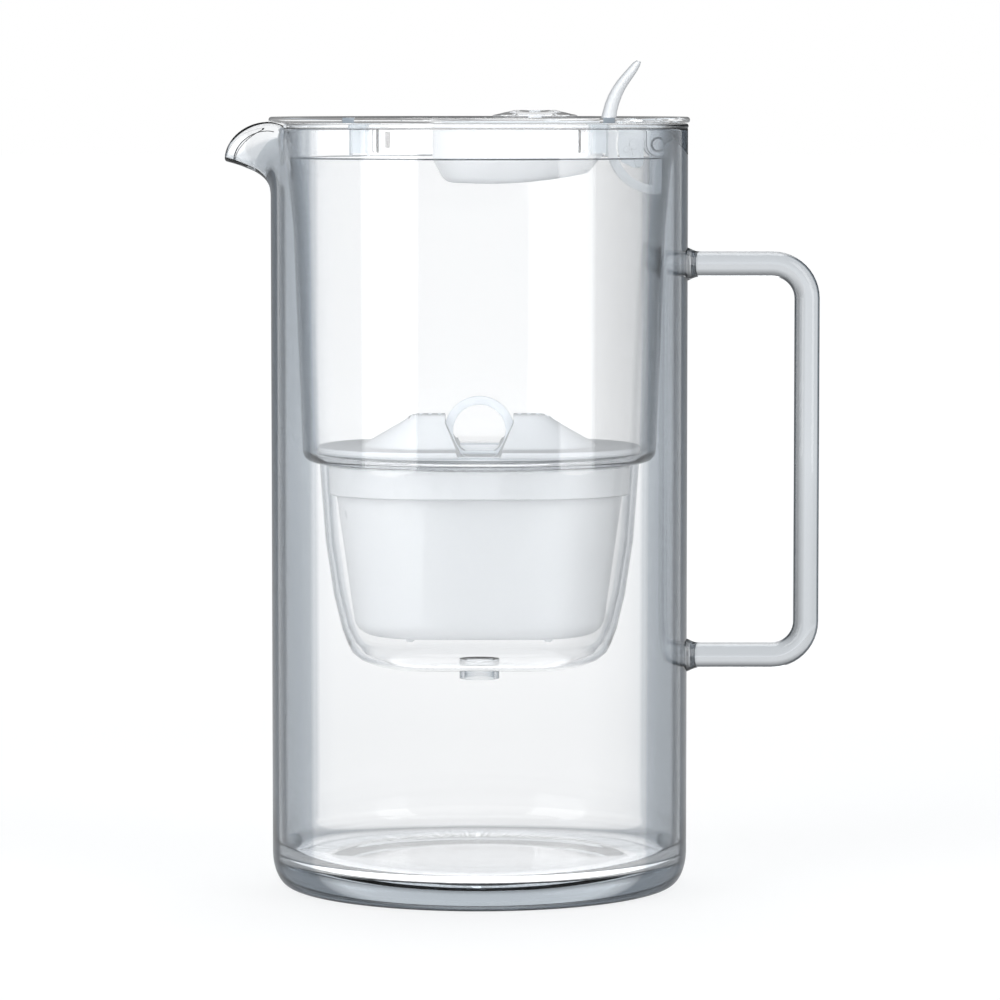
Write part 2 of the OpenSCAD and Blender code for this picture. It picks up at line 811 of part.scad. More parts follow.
glass_jug();
glass_base();
glass_handle();
funnel_tank();
cartridge_case();
cartridge_collar();
cartridge_seal();
cartridge_cap();
pull_ring();
felt_pad();
filter_media();
lower_screen();
upper_screen();
lid_cover();
snap_tongues();
hinge_lugs();
hinge_pin();
lever_stop();
hatch_plate();
hatch_gasket();
splash_bowl();
gooseneck_arms();
thumb_lever();
dial_post();
reminder_dial();
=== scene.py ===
from math import asin, atan2, cos, degrees, hypot, pi, radians, sin, sqrt

import bmesh
import bpy
from mathutils import Matrix, Vector


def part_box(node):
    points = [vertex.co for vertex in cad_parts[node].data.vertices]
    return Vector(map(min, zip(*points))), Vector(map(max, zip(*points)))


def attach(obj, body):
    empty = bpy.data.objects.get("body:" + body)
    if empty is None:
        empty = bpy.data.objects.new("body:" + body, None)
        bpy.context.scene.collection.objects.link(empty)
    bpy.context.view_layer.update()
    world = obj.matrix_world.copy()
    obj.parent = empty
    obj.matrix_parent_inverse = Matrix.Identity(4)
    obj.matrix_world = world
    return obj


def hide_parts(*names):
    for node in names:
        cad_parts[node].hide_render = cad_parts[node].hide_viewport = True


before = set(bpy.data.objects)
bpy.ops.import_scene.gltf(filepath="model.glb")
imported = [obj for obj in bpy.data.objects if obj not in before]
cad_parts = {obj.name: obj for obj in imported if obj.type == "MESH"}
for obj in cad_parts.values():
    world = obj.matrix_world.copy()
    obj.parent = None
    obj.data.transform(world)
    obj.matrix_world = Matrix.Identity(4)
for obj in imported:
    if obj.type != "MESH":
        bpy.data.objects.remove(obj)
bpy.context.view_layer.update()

scene = bpy.context.scene

# ---------------------------------------------------------------------------
# Camera, light and backdrop: a long lens a little above the lid, three soft
# boxes and a white studio. None of it belongs to the pitcher.
# ---------------------------------------------------------------------------
eye_far = 1.680
eye_z = 0.2570
aim_z = 0.1252
side_step = 0.0067
camera = bpy.data.objects.new("camera", bpy.data.cameras.new("camera"))
scene.collection.objects.link(camera)
camera.location = (side_step, -eye_far, eye_z)
camera.rotation_euler = Vector((0, eye_far, aim_z - eye_z)).to_track_quat("-Z", "Y").to_euler()
camera.data.lens = 186.5
camera.data.sensor_width = 36
camera.data.clip_end = 50
scene.camera = camera
scene.view_settings.view_transform = "Standard"


class Wire:
    """A shader socket that can be used in sums: each operator adds a Math node."""

    def __init__(self, look, socket):
        self.look = look
        self.socket = socket

    def math(self, operation, other=0.0, swap=False):
        first, second = (other, self) if swap else (self, other)
        return self.look.node("ShaderNodeMath", {0: first, 1: second}, operation=operation)

    def clamp(self):
        return self.math("MAXIMUM", 0.0).math("MINIMUM", 1.0)

    def __add__(self, other):
        return self.math("ADD", other)

    def __sub__(self, other):
        return self.math("SUBTRACT", other)

    def __rsub__(self, other):
        return self.math("SUBTRACT", other, swap=True)

    def __mul__(self, other):
        return self.math("MULTIPLY", other)

    __radd__ = __add__
    __rmul__ = __mul__


class Look:
    """A node tree, with one way to add a node: its type, its settings, then its sockets."""

    def __init__(self, tree):
        self.tree = tree

    def node(self, kind, inputs=None, output=0, stops=None, **settings):
        made = self.tree.nodes.new(kind)
        for key, value in settings.items():
            setattr(made, key, value)
        if stops:
            band = made.color_ramp.elements
            for end in (0, -1):
                band[end].position, band[end].color = stops[end]
            for place, colour in stops[1:-1]:
                band.new(place).color = colour
        for key, value in (inputs or {}).items():
            if isinstance(value, Wire):
                self.tree.links.new(value.socket, made.inputs[key])
            else:
                made.inputs[key].default_value = value
        return made if output is None else Wire(self, made.outputs[output])

    def parts(self, vector):
        """The X, Y and Z of a vector."""
        return [Wire(self, s) for s in self.node("ShaderNodeSeparateXYZ", {0: vector}, None).outputs]

    def ray(self, kind):
        return self.node("ShaderNodeLightPath", output=kind)

    def mix(self, factor, a, b):
        return self.node("ShaderNodeMix", {0: factor, 6: a, 7: b}, 2, data_type="RGBA")


def grey(level):
    return (level, level, level, 1)


# The studio is white to the lens and through glass, plain to matt surfaces,
# and dim to reflections. Glass that looks up sees a darker ceiling.
world = bpy.data.worlds.new("studio")
scene.world = world
world.use_nodes = True
sky = Look(world.node_tree)
sky.tree.nodes.clear()
through = sky.ray("Is Transmission Ray")
seen = sky.ray("Is Camera Ray").math("MAXIMUM", through) * sky.ray("Diffuse Depth").math("LESS_THAN", 0.5)
heading = sky.parts(sky.node("ShaderNodeTexCoord", output="Generated"))
ceiling = ((heading[2] - 0.2) * 3.0).clamp() * through * 0.62
leftward = ((0.15 - heading[0]) * 1.4).clamp()
white_sky = sky.node("ShaderNodeBackground", {"Color": grey(1.0), "Strength": 1.0 - ceiling})
soft_sky = sky.node("ShaderNodeBackground", {"Color": (0.92, 0.96, 1.0, 1), "Strength": 0.50})
gloss = leftward * 0.12 + 0.08
gloss_sky = sky.node("ShaderNodeBackground", {"Color": (0.93, 0.965, 1.0, 1), "Strength": gloss})
dull_sky = sky.node("ShaderNodeMixShader", {0: sky.ray("Is Glossy Ray"), 1: soft_sky, 2: gloss_sky})
whole_sky = sky.node("ShaderNodeMixShader", {0: seen, 1: dull_sky, 2: white_sky})
sky.node("ShaderNodeOutputWorld", {"Surface": whole_sky}, None)


def add_lamp(name, place, aim, size, power):
    """A rectangular soft box that faces the aim."""
    light = bpy.data.lights.new(name, "AREA")
    light.shape = "RECTANGLE"
    light.size, light.size_y = size
    light.energy = power
    lamp = bpy.data.objects.new(name, light)
    scene.collection.objects.link(lamp)
    lamp.location = place
    lamp.rotation_euler = (Vector(aim) - Vector(place)).to_track_quat("-Z", "Y").to_euler()


add_lamp("key", (-1.25, -1.05, 0.75), (0, 0, 0.14), (1.1, 2.2), 20.5)
add_lamp("fill", (1.35, -0.95, 0.75), (0, 0, 0.14), (0.7, 2.2), 12.5)
add_lamp("top", (0.1, 0.5, 1.7), (0, 0, 0.2), (1.0, 1.0), 9)

# ---------------------------------------------------------------------------
# Floor: a plain pale sheet of paper that runs out of sight. It stays white to
# the lens, and seen through glass it has a painted pool of light where the jug stands on it.
# ---------------------------------------------------------------------------

class Finish(Look):
    """One material: a Principled shader and the nodes that feed it."""

    def __init__(self, name, **sockets):
        self.mat = bpy.data.materials.new(name)
        self.mat.use_nodes = True
        super().__init__(self.mat.node_tree)
        self.shader = self.tree.nodes["Principled BSDF"]
        self.put(**sockets)

    def put(self, **sockets):
        """Numbers and colours that are the same all over the surface."""
        for key, value in sockets.items():
            self.shader.inputs[key.replace("_", " ")].default_value = value

    def feed(self, key, wire):
        self.tree.links.new(wire.socket, self.shader.inputs[key])

    def close(self, key, wire):
        self.tree.links.new(wire.socket, self.tree.nodes["Material Output"].inputs[key])

    def noise(self, scale, detail=3.0):
        place = self.node("ShaderNodeTexCoord", output="Object")
        return self.node("ShaderNodeTexNoise", {"Vector": place, "Scale": scale, "Detail": detail})

    def bump(self, height, depth, strength=0.4):
        inputs = {"Height": height, "Distance": depth, "Strength": strength}
        self.feed("Normal", self.node("ShaderNodeBump", inputs))


def as_object(bm, name="raw"):
    """An object made of a bmesh, which is used up."""
    mesh = bpy.data.meshes.new(name)
    bm.to_mesh(mesh)
    bm.free()
    shape = bpy.data.objects.new(name, mesh)
    scene.collection.objects.link(shape)
    return shape


far_start, far_span = 0.4, 1.6
foot_r, foot_fade = 0.073, 0.008
paper = Finish("pale_floor", Roughness=0.9, Specular_IOR_Level=0.0, Emission_Strength=1.0)
paper.feed("Base Color", paper.mix(paper.noise(3.0), grey(0.42), grey(0.40)))
spot = paper.node("ShaderNodeTexCoord", output="Object")
away = paper.node("ShaderNodeVectorMath", {0: spot}, "Value", operation="LENGTH")
far = ((away - far_start) * (1 / far_span)).clamp()
# Painted light: seen through glass, a pool of extra glow under the jug's foot.
under = ((foot_r - away) * (1 / foot_fade)).clamp()
to_lens = paper.mix(far, grey(0.60), grey(0.82))
to_glass = paper.mix(under, paper.mix(far, grey(0.54), grey(0.86)), grey(1.6))
glow = paper.mix(paper.ray("Is Camera Ray"), grey(0.08), to_lens)
paper.feed("Emission Color", paper.mix(paper.ray("Is Transmission Ray"), glow, to_glass))
bm = bmesh.new()
bmesh.ops.create_grid(bm, x_segments=1, y_segments=1, size=20)
floor = as_object(bm, "floor")
floor.data.materials.append(paper.mat)

# ---------------------------------------------------------------------------
# Glass jug: borosilicate, turned and blown in one piece. The wall is drawn
# out into the spout while hot, so both skins run through it without a seam.
# ---------------------------------------------------------------------------
MM = 0.001
merge_gap = 2e-7
shadow_tint = (0.985, 0.988, 0.99, 1)
# Level glass faces keep level_tint instead of the painted edge shade; black is what the painted shade
# darkens towards.
level_tint = (0.97, 0.975, 0.98, 1)
body_tint = (0.655, 0.70, 0.74, 1)
black = (0, 0, 0, 1)


def make_glass(name, stops, density, ior, smudge, shade=None, turned=None, dark_foot=None, glow=0.0):
    """Clear glass or plastic. Steep walls take painted shade towards their outline, level faces stay pale.

    stops are (facing, colour) of that painted shade, facing 0 where the wall is seen square on.
    shade is (start, end, depth): painted shade, the wall grows darker between two places along X.
    turned is (start, end, depth): painted shade, faces that look towards -X are darker.
    dark_foot is (top, fade, start, end): painted shade, steep walls below this height are dark.
    glow is painted light: the glass gives off a faint light of its own.
    """
    look = Finish(name, Transmission_Weight=1.0, IOR=ior, Roughness=0.0)
    facing = look.node("ShaderNodeLayerWeight", {"Blend": 0.5}, "Facing")
    heading = look.parts(look.node("ShaderNodeNewGeometry", output="Normal"))
    at = look.parts(look.node("ShaderNodeTexCoord", output="Object"))
    level = ((heading[2].math("ABSOLUTE") - 0.80) * 7.0).clamp()
    # Painted shade: steep walls darken towards their outline, and the masks below darken them further.
    colour = look.mix(level, look.node("ShaderNodeValToRGB", {0: facing}, stops=stops), level_tint)
    if shade:
        start, end, depth = shade
        across = (at[0] - start * MM) * (1 / ((end - start) * MM))
        colour = look.mix(across.clamp() * depth, colour, black)
    if turned:
        start, end, depth = turned
        across = (heading[0] * -1 - start) * (1 / (end - start))
        colour = look.mix(across.clamp() * depth, colour, black)
    if dark_foot:
        top, fade, start, end = dark_foot
        low_down = ((top * MM - at[2]) * (1 / (fade * MM))).clamp()
        steep = ((facing - start) * (1 / (end - start))).clamp()
        colour = look.mix(low_down * steep * 0.80, colour, (0.02, 0.028, 0.04, 1))
    look.feed("Base Color", colour)
    look.feed("Roughness", look.noise(45.0) * smudge)
    # Painted light: a faint glow of its own.
    if glow:
        look.put(Emission_Color=grey(1.0), Emission_Strength=glow)
    # Light passes to the pieces behind, so a clear wall casts only a faint shadow.
    clear = look.node("ShaderNodeBsdfTransparent", {"Color": shadow_tint})
    glass = Wire(look, look.shader.outputs[0])
    both = look.node("ShaderNodeMixShader", {0: look.ray("Is Shadow Ray"), 1: glass, 2: clear})
    look.close("Surface", both)
    look.close("Volume", look.node("ShaderNodeVolumeAbsorption", {"Color": body_tint, "Density": density}))
    return look.mat


def skin(rows, ring=False):
    """Draw a loop of points, in millimetres, out through every row; a ring ends on its first row.

    An open skin is closed at both ends.
    """
    bm = bmesh.new()
    loop = [bm.verts.new(Vector(p) * MM) for p in rows[0]]
    edges = [bm.edges.new((loop[i - 1], loop[i])) for i in range(len(loop))]
    for row in rows[1:] + (rows[:1] if ring else []):
        drawn = bmesh.ops.extrude_edge_only(bm, edges=edges)["geom"]
        fresh = {g for g in drawn if isinstance(g, bmesh.types.BMVert)}
        edges = [g for g in drawn if isinstance(g, bmesh.types.BMEdge)]
        loop = [next(e.other_vert(v) for e in v.link_edges if e.other_vert(v) in fresh) for v in loop]
        for v, p in zip(loop, row):
            v.co = Vector(p) * MM
    bmesh.ops.remove_doubles(bm, verts=bm.verts, dist=merge_gap)
    bmesh.ops.holes_fill(bm, edges=[e for e in bm.edges if e.is_boundary], sides=0)
    bmesh.ops.recalc_face_normals(bm, faces=bm.faces)
    return as_object(bm)


def dress(shape, name, body, nodes, material, smooth=40):
    """Turn a raw mesh into a named piece on a body, standing for its CAD nodes."""
    shape.name = name
    shape.data.name = name
    shape.data.shade_smooth()
    shape.data.set_sharp_from_angle(angle=radians(smooth))
    shape.data.materials.clear()
    shape.data.materials.append(material)
    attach(shape, body)
    if nodes:
        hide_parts(*nodes)
    return shape


def arc(cx, cz, r, a0, a1, steps=10):
    """Points on an arc in the (r, z) plane, angles in degrees from +r towards +z."""
    angles = [radians(a0 + (a1 - a0) * i / steps) for i in range(steps + 1)]
    return [(cx + r * cos(a), cz + r * sin(a)) for a in angles]


def smooth_step(t):
    """An even ease from 0 to 1."""
    t = max(0.0, min(1.0, t))
    return t * t * (3 - 2 * t)


jug_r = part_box("glass_jug")[1].x / MM
jug_wall = 2.4
jug_in = jug_r - jug_wall
jug_h = 245.5
base_t = 8.5
corner_in = 5.5
corner_up = 11.0
inner_corner = 7.8
spout_reach = 14.2
spout_half = asin(24 / jug_r)
spout_top = jug_h + 1.9
spout_z = spout_top - 25.5
spout_arc = 13.7
lip_z = spout_top - spout_arc

# Painted shade: the stops paint dark bands along the outline, shade darkens the +X side and dark_foot
# paints the thick foot dark.
jug_glass = make_glass(
    "jug_glass",
    [(0.0, (1, 1, 1, 1)), (0.30, (0.985, 0.988, 0.99, 1)), (0.40, (0.93, 0.94, 0.95, 1)),
     (0.425, (0.53, 0.565, 0.60, 1)), (0.50, (0.44, 0.475, 0.51, 1)), (0.71, (0.36, 0.395, 0.43, 1)),
     (0.765, (0.012, 0.018, 0.026, 1)), (0.88, (0.012, 0.018, 0.026, 1)), (1.0, (0.12, 0.14, 0.17, 1))],
    16.0, 1.45, 0.012, shade=(36, 66, 0.06), dark_foot=(13, 5, 0.30, 0.42))


def pull(t):
    """How far the hot wall is drawn out; t runs from -1 to 1 across the spout."""
    return spout_reach * max(0.0, 1 - t * t) ** 1.5 if abs(t) < 1 else 0.0


def lip_height(t):
    """Height of the rim, which dips towards the tip of the spout."""
    if abs(t) >= 1:
        return jug_h
    return lip_z + sqrt(max(0.0, spout_arc ** 2 - (pull(t) * 0.96) ** 2)) - 1.9 * t ** 6


def wall_point(a, s):
    """Outer skin above the spout's foot: a is the angle from the spout, s runs from foot to rim."""
    t = a / spout_half
    r = jug_r + pull(t) * s ** 3.6
    z = spout_z + s * (lip_height(t) - spout_z)
    return Vector((-r * cos(a), -r * sin(a), z))


def below_lip(a, drop):
    """Share of the spout's height this far below its lip; the painted shade line sits closer to the lip at
    the tip.
    """
    drop *= 0.32 + 0.68 * min(1, (a / spout_half) ** 2)
    return 1 - drop / (lip_height(a / spout_half) - spout_z)


def wall_inner(a, s, depth):
    """The same point moved inwards along the normal."""
    h = 1e-3
    s0, s1 = max(0.0, s - h), min(1.0, s + h)
    across = wall_point(a + h, s) - wall_point(a - h, s)
    along = wall_point(a, s1) - wall_point(a, s0)
    normal = across.cross(along).normalized()
    p = wall_point(a, s)
    if normal.dot(Vector((p.x, p.y, 0))) > 0:
        normal = -normal
    return p + normal * depth


def jug_rows(cols):
    """Loops from the middle of the foot, up the outside, over the rim and down inside to the floor."""
    angles = [2 * pi * i / cols - pi for i in range(cols)]

    def ring(r, z):
        return [Vector((-r * cos(a), -r * sin(a), z)) for a in angles]

    rows = [ring(0, 0.6), ring(30, 0.6), ring(44, 0.6), ring(46.5, 0.15), ring(49, 0)]
    for i in range(17):
        turn = pi / 2 * i / 16
        rows.append(ring(jug_r - corner_in * (1 - sin(turn)), corner_up * (1 - cos(turn))))
    rows += [ring(jug_r, z) for z in (30, 60, 90, 120, 150, 180, 205, spout_z - 4)]
    shares = [smooth_step(i / 30) * 0.35 + 0.65 * i / 30 for i in range(31)]
    shares = [s for s in shares if s < 0.79]
    rows += [[wall_point(a, s) for a in angles] for s in shares]
    rows += [[wall_point(a, below_lip(a, d)) for a in angles] for d in (4.4, 3.2, 2.2, 1.85, 1.2, 0.6, 0)]
    for k in range(1, 8):
        turn = pi * k / 8
        row = []
        for a in angles:
            p, q = wall_point(a, 1), wall_inner(a, 1, jug_wall)
            up = (wall_point(a, 1) - wall_point(a, 0.985)).normalized()
            row.append((p + q) / 2 + (p - q) / 2 * cos(turn) + up * jug_wall / 2 * sin(turn) * 0.8)
        rows.append(row)
    rows += [[wall_inner(a, below_lip(a, d), jug_wall) for a in angles] for d in (0, 0.6, 1.2, 2.0)]
    rows += [[wall_inner(a, s, jug_wall) for a in angles] for s in reversed(shares)]
    rows += [ring(jug_in, z) for z in (spout_z - 4, 205, 180, 150, 120, 90, 60, 30)]
    inner_arc = arc(jug_in - inner_corner, base_t + inner_corner, inner_corner, 0, -90, 12)
    rows += [ring(r, z) for r, z in inner_arc]
    rows += [ring(40, base_t), ring(20, base_t), ring(0, base_t)]
    return rows


jug = dress(skin(jug_rows(360)), "jug", "jug", ["glass_jug", "glass_base"], jug_glass, 60)
# A painted dark line of shade runs round just under the rim and the spout's lip.
painted_shade_line = make_glass(
    "painted_shade_line", [(0.0, (0.10, 0.12, 0.14, 1)), (1.0, (0.03, 0.04, 0.05, 1))],
    10.0, 1.45, 0.01)
jug.data.materials.append(painted_shade_line)
for face in jug.data.polygons:
    centre = face.center / MM
    angle = atan2(-centre.y, -centre.x)
    if abs(angle) < spout_half * 0.86 and (centre - wall_point(angle, below_lip(angle, 2.02))).length < 0.2:
        face.material_index = 1

# ---------------------------------------------------------------------------
# Glass handle: a solid rod bent twice and fused to the wall. The hot ends
# spread a little where they melt into the jug.
# ---------------------------------------------------------------------------
# Painted shade: the rod is greyed all over, dark at its outline, and turned darkens the faces that look
# towards -X.
rod_glass = make_glass(
    "rod_glass",
    [(0.0, (0.66, 0.685, 0.71, 1)), (0.40, (0.64, 0.67, 0.70, 1)), (0.47, (0.20, 0.23, 0.26, 1)),
     (0.56, (0.03, 0.04, 0.05, 1)), (1.0, (0.03, 0.04, 0.05, 1))],
    10.0, 1.47, 0.01, turned=(0.15, 0.70, 0.80))
rod_r = 4.1
handle_x = 106.3
handle_top = 201.9
handle_low = 74.5
bend = 11.2


def handle_path():
    """Centre line of the rod and its radius at each point."""
    path = []
    wall_x = jug_r - 0.4
    for i in range(9):
        share = i / 8
        path.append((wall_x + 5.2 * share, handle_top, rod_r + 1.3 * (1 - smooth_step(share)) ** 2))
    path += [(x, handle_top, rod_r) for x in (80, 88, handle_x - bend)]
    for x, z in arc(handle_x - bend, handle_top - bend, bend, 90, 0, 12)[1:]:
        path.append((x, z, rod_r))
    path += [(handle_x, z, rod_r) for z in (170, 138, 106, handle_low + bend)]
    for x, z in arc(handle_x - bend, handle_low + bend, bend, 0, -90, 12)[1:]:
        path.append((x, z, rod_r))
    path += [(x, handle_low, rod_r) for x in (88, 80)]
    for i in range(9):
        share = 1 - i / 8
        path.append((wall_x + 5.2 * share, handle_low, rod_r + 1.3 * (1 - smooth_step(share)) ** 2))
    return path


def rod_rows(path, cols=48):
    """A circle of points round every point of the path; the two ends are cut to the round wall."""
    rows = []
    for j, (x, z, r) in enumerate(path):
        a = path[max(0, j - 1)]
        b = path[min(len(path) - 1, j + 1)]
        along = Vector((b[0] - a[0], 0, b[1] - a[1])).normalized()
        side = Vector((0, 1, 0))
        up = along.cross(side)
        row = []
        for i in range(cols):
            w = 2 * pi * i / cols
            p = Vector((x, 0, z)) + side * r * cos(w) + up * r * sin(w)
            if j in (0, len(path) - 1):
                p.x = sqrt(max(0.0, (jug_r - 0.02) ** 2 - p.y ** 2))
            row.append(p)
        rows.append(row)
    return rows


dress(skin(rod_rows(handle_path())), "handle", "jug", ["glass_handle"], rod_glass, 50)

# ---------------------------------------------------------------------------
# Funnel tank: one clear moulding. Its flange hangs on the glass rim, the wall
# narrows to a step, and an oval cup below the step takes the cartridge.
# ---------------------------------------------------------------------------
# Painted shade: the stops darken the wall towards its outline, and shade darkens it towards +X.
clear_plastic = make_glass(
    "clear_plastic",
    [(0.0, (1, 1, 1, 1)), (0.50, (0.99, 0.992, 0.995, 1)), (0.60, (0.90, 0.91, 0.92, 1)),
     (0.63, (0.62, 0.655, 0.69, 1)), (0.70, (0.50, 0.54, 0.58, 1)), (0.76, (0.20, 0.23, 0.26, 1)),
     (1.0, (0.05, 0.06, 0.075, 1))],
    8.0, 1.34, 0.02, shade=(24, 58, 0.20))
tank_top = jug_h + 2.0
step_z = 138.3
floor_z = step_z + 1.8
neck_r = 63.3
tank_wall = 1.2
low_r = 57.4
mid_r = 60.2
cup_z = step_z - 68.4
cup_half = 16.0
outlet_r = 6.5
fillet = 3.5


def tank_side(inset):
    """The tank's wall from the step to the flange, as (r, z)."""
    return [(mid_r - inset - 1.4, step_z + 38), (mid_r - inset, step_z + 75),
            (62.1 - inset - 0.35, step_z + 91), (62.1 - inset, step_z + 95),
            (neck_r - inset - 0.2, step_z + 98), (neck_r - inset, step_z + 100)]


def cup_point(a, r, z):
    """Point of the cup's oval at angle a."""
    side = cup_half if cos(a) > 0 else -cup_half
    return Vector((side + r * cos(a), r * sin(a), z))


cup_outer = [(36.0, step_z - 0.6), (35.6, step_z - 6), (34.1, cup_z + 42.5), (31.5, cup_z + 25),
             (28.9, cup_z + 14), (27.1, cup_z + 9.1), (25.6, cup_z + 6.0), (22.8, cup_z + 3.6),
             (18.5, cup_z + 1.8), (12.3, cup_z + 0.6), (9, cup_z + 0.3)]
cup_inner = [(34.0, floor_z - 0.5), (33.7, floor_z - 6), (32.3, cup_z + 42.5), (29.7, cup_z + 26),
             (27.1, cup_z + 15), (25.3, cup_z + 10.4), (23.6, cup_z + 7.4), (21.4, cup_z + 5.3),
             (17.6, cup_z + 3.5), (11.7, cup_z + 2.4), (9, cup_z + 2.1)]


def tank_rows(cols):
    """Loops from the outlet, up the outside, over the flange and down inside to the outlet again."""
    angles = [2 * pi * (i + 0.5) / cols for i in range(cols)]

    def ring(r, z):
        return [Vector((r * cos(a), r * sin(a), z)) for a in angles]

    def flange_ring(r, z):
        """A ring of the flange, drawn back to the neck where it clears the spout."""
        row = []
        for a in angles:
            off = abs(pi - a)
            share = smooth_step((off - spout_half - 0.01) / 0.03)
            reach = neck_r + 0.02 + (r - neck_r - 0.02) * share
            row.append(Vector((reach * cos(a), reach * sin(a), z)))
        return row

    rows = [ring(outlet_r - 1.6, cup_z - 2.8), ring(outlet_r, cup_z - 2.8), ring(outlet_r, cup_z)]
    rows += [[cup_point(a, r, z) for a in angles] for r, z in reversed(cup_outer)]
    rows += [[cup_point(a, 36.8, step_z) for a in angles]]
    rows += [ring(r, z) for r, z in arc(low_r - fillet, step_z + fillet, fillet, -88, 0, 10)]
    rows += [ring(r, z) for r, z in tank_side(0)]
    rows += [ring(neck_r, jug_h - 1), ring(neck_r, jug_h + 0.1)]
    rows += [flange_ring(r, z) for r, z in [(neck_r + 0.3, jug_h + 0.12), (67.0, jug_h + 0.15)]]
    rows += [flange_ring(r, z) for r, z in arc(66.75, jug_h + 1.05, 0.93, -80, 80, 8)]
    rows += [flange_ring(neck_r, tank_top), ring(neck_r - tank_wall + 0.3, tank_top)]
    rows += [ring(neck_r - tank_wall, tank_top - 0.3)]
    rows += [ring(r, z) for r, z in reversed(tank_side(tank_wall))]
    r_in = fillet - tank_wall
    rows += [ring(r, z) for r, z in arc(low_r - fillet, floor_z + r_in, r_in, 0, -88, 8)]
    rows += [[cup_point(a, 34.8, floor_z) for a in angles]]
    rows += [[cup_point(a, r, z) for a in angles] for r, z in cup_inner]
    rows += [ring(outlet_r, cup_z + 1.9), ring(outlet_r - 0.2, cup_z + 1.2)]
    rows += [ring(outlet_r - 1.6, cup_z + 0.6)]
    return rows


tank = dress(skin(tank_rows(288), ring=True), "tank", "tank", ["funnel_tank"], clear_plastic, 40)
# Painted shade: the outlet below the cup is greyer all over and darkest at its outline.
outlet_clear = make_glass(
    "outlet_clear",
    [(0.0, (0.86, 0.87, 0.88, 1)), (0.30, (0.72, 0.75, 0.78, 1)), (0.60, (0.16, 0.19, 0.22, 1)),
     (1.0, (0.04, 0.05, 0.06, 1))],
    10.0, 1.34, 0.02)
tank.data.materials.append(outlet_clear)
for face in tank.data.polygons:
    if face.center.z / MM < cup_z - 0.05:
        face.material_index = 1


def slab(loops, w0, w1, place):
    """A flat plate: outline loops (the first one outside, the rest holes) run from w0 to w1."""
    bm = bmesh.new()
    edges = []
    for loop in loops:
        ring = [bm.verts.new(Vector(place(u, v, w0)) * MM) for u, v in loop]
        edges += [bm.edges.new((ring[i - 1], ring[i])) for i in range(len(ring))]
    bmesh.ops.triangle_fill(bm, use_beauty=True, use_dissolve=True, edges=edges)
    grown = bmesh.ops.extrude_face_region(bm, geom=bm.faces[:], use_keep_orig=True)
    move = (Vector(place(0, 0, w1)) - Vector(place(0, 0, w0))) * MM
    fresh = [g for g in grown["geom"] if isinstance(g, bmesh.types.BMVert)]
    bmesh.ops.translate(bm, vec=move, verts=fresh)
    bmesh.ops.recalc_face_normals(bm, faces=bm.faces)
    return as_object(bm)


def outward(angle):
    """Places a side view that faces out at an angle round the Z axis: u outwards, v up, w across."""
    a = radians(angle)
    return lambda u, v, w: (u * cos(a) - w * sin(a), u * sin(a) + w * cos(a), v)


rib_in, rib_out, rib_half = neck_r - 0.3, jug_in - 0.5, 0.8
rib_top, rib_foot = jug_h - 0.05, jug_h - 7
rib = [(rib_in, rib_foot)] + arc(rib_out - 1.0, rib_foot + 1.0, 1.0, -90, 0, 5)
rib += [(rib_out, rib_top), (rib_in, rib_top)]
for number, angle in enumerate((0, 60, 120, 240, 300)):
    shape = slab([rib], -rib_half, rib_half, outward(angle))
    dress(shape, f"tank_rib_{number}", "tank", [], clear_plastic, 30)

# ---------------------------------------------------------------------------
# Cartridge case: a white oval cup with a wider collar band and four small feet.
# Both are moulded, and the collar is welded on; a soft ring seals the case.
# ---------------------------------------------------------------------------

def tone(r, g, b):
    """A colour given as 0-255 display values, as linear light."""
    def lin(v):
        v = v / 255
        return v / 12.92 if v <= 0.04045 else ((v + 0.055) / 1.055) ** 2.4
    return (lin(r), lin(g), lin(b), 1)


def make_white(name, colour, rough, edge=0.86, glow=0.0, clear=0.0):
    """Moulded plastic: a fine grain and slightly uneven gloss, with painted shade that greys the surface
    towards its outline (edge) and a painted glow of its shaded colour (glow).
    """
    look = Finish(name, Roughness=rough, Transmission_Weight=clear)
    cloud = look.noise(60.0)
    face = look.mix(cloud, colour, tuple(0.985 * c for c in colour[:3]) + (1,))
    # Painted shade: the colour greys where the surface turns away towards its outline.
    rim = look.node("ShaderNodeLayerWeight", {"Blend": 0.5}, "Facing")
    dim = tuple(edge * c for c in (colour[0] * 0.97, colour[1] * 0.985, colour[2])) + (1,)
    shaded = look.mix(rim.math("POWER", 2.2), face, dim)
    look.feed("Base Color", shaded)
    look.feed("Roughness", cloud * 0.10 + (rough - 0.05))
    look.bump(look.noise(1400.0, 2.0), 0.00002)
    # Painted light: the surface glows with its own shaded colour.
    if glow:
        look.feed("Emission Color", shaded)
        look.put(Emission_Strength=glow)
    return look.mat


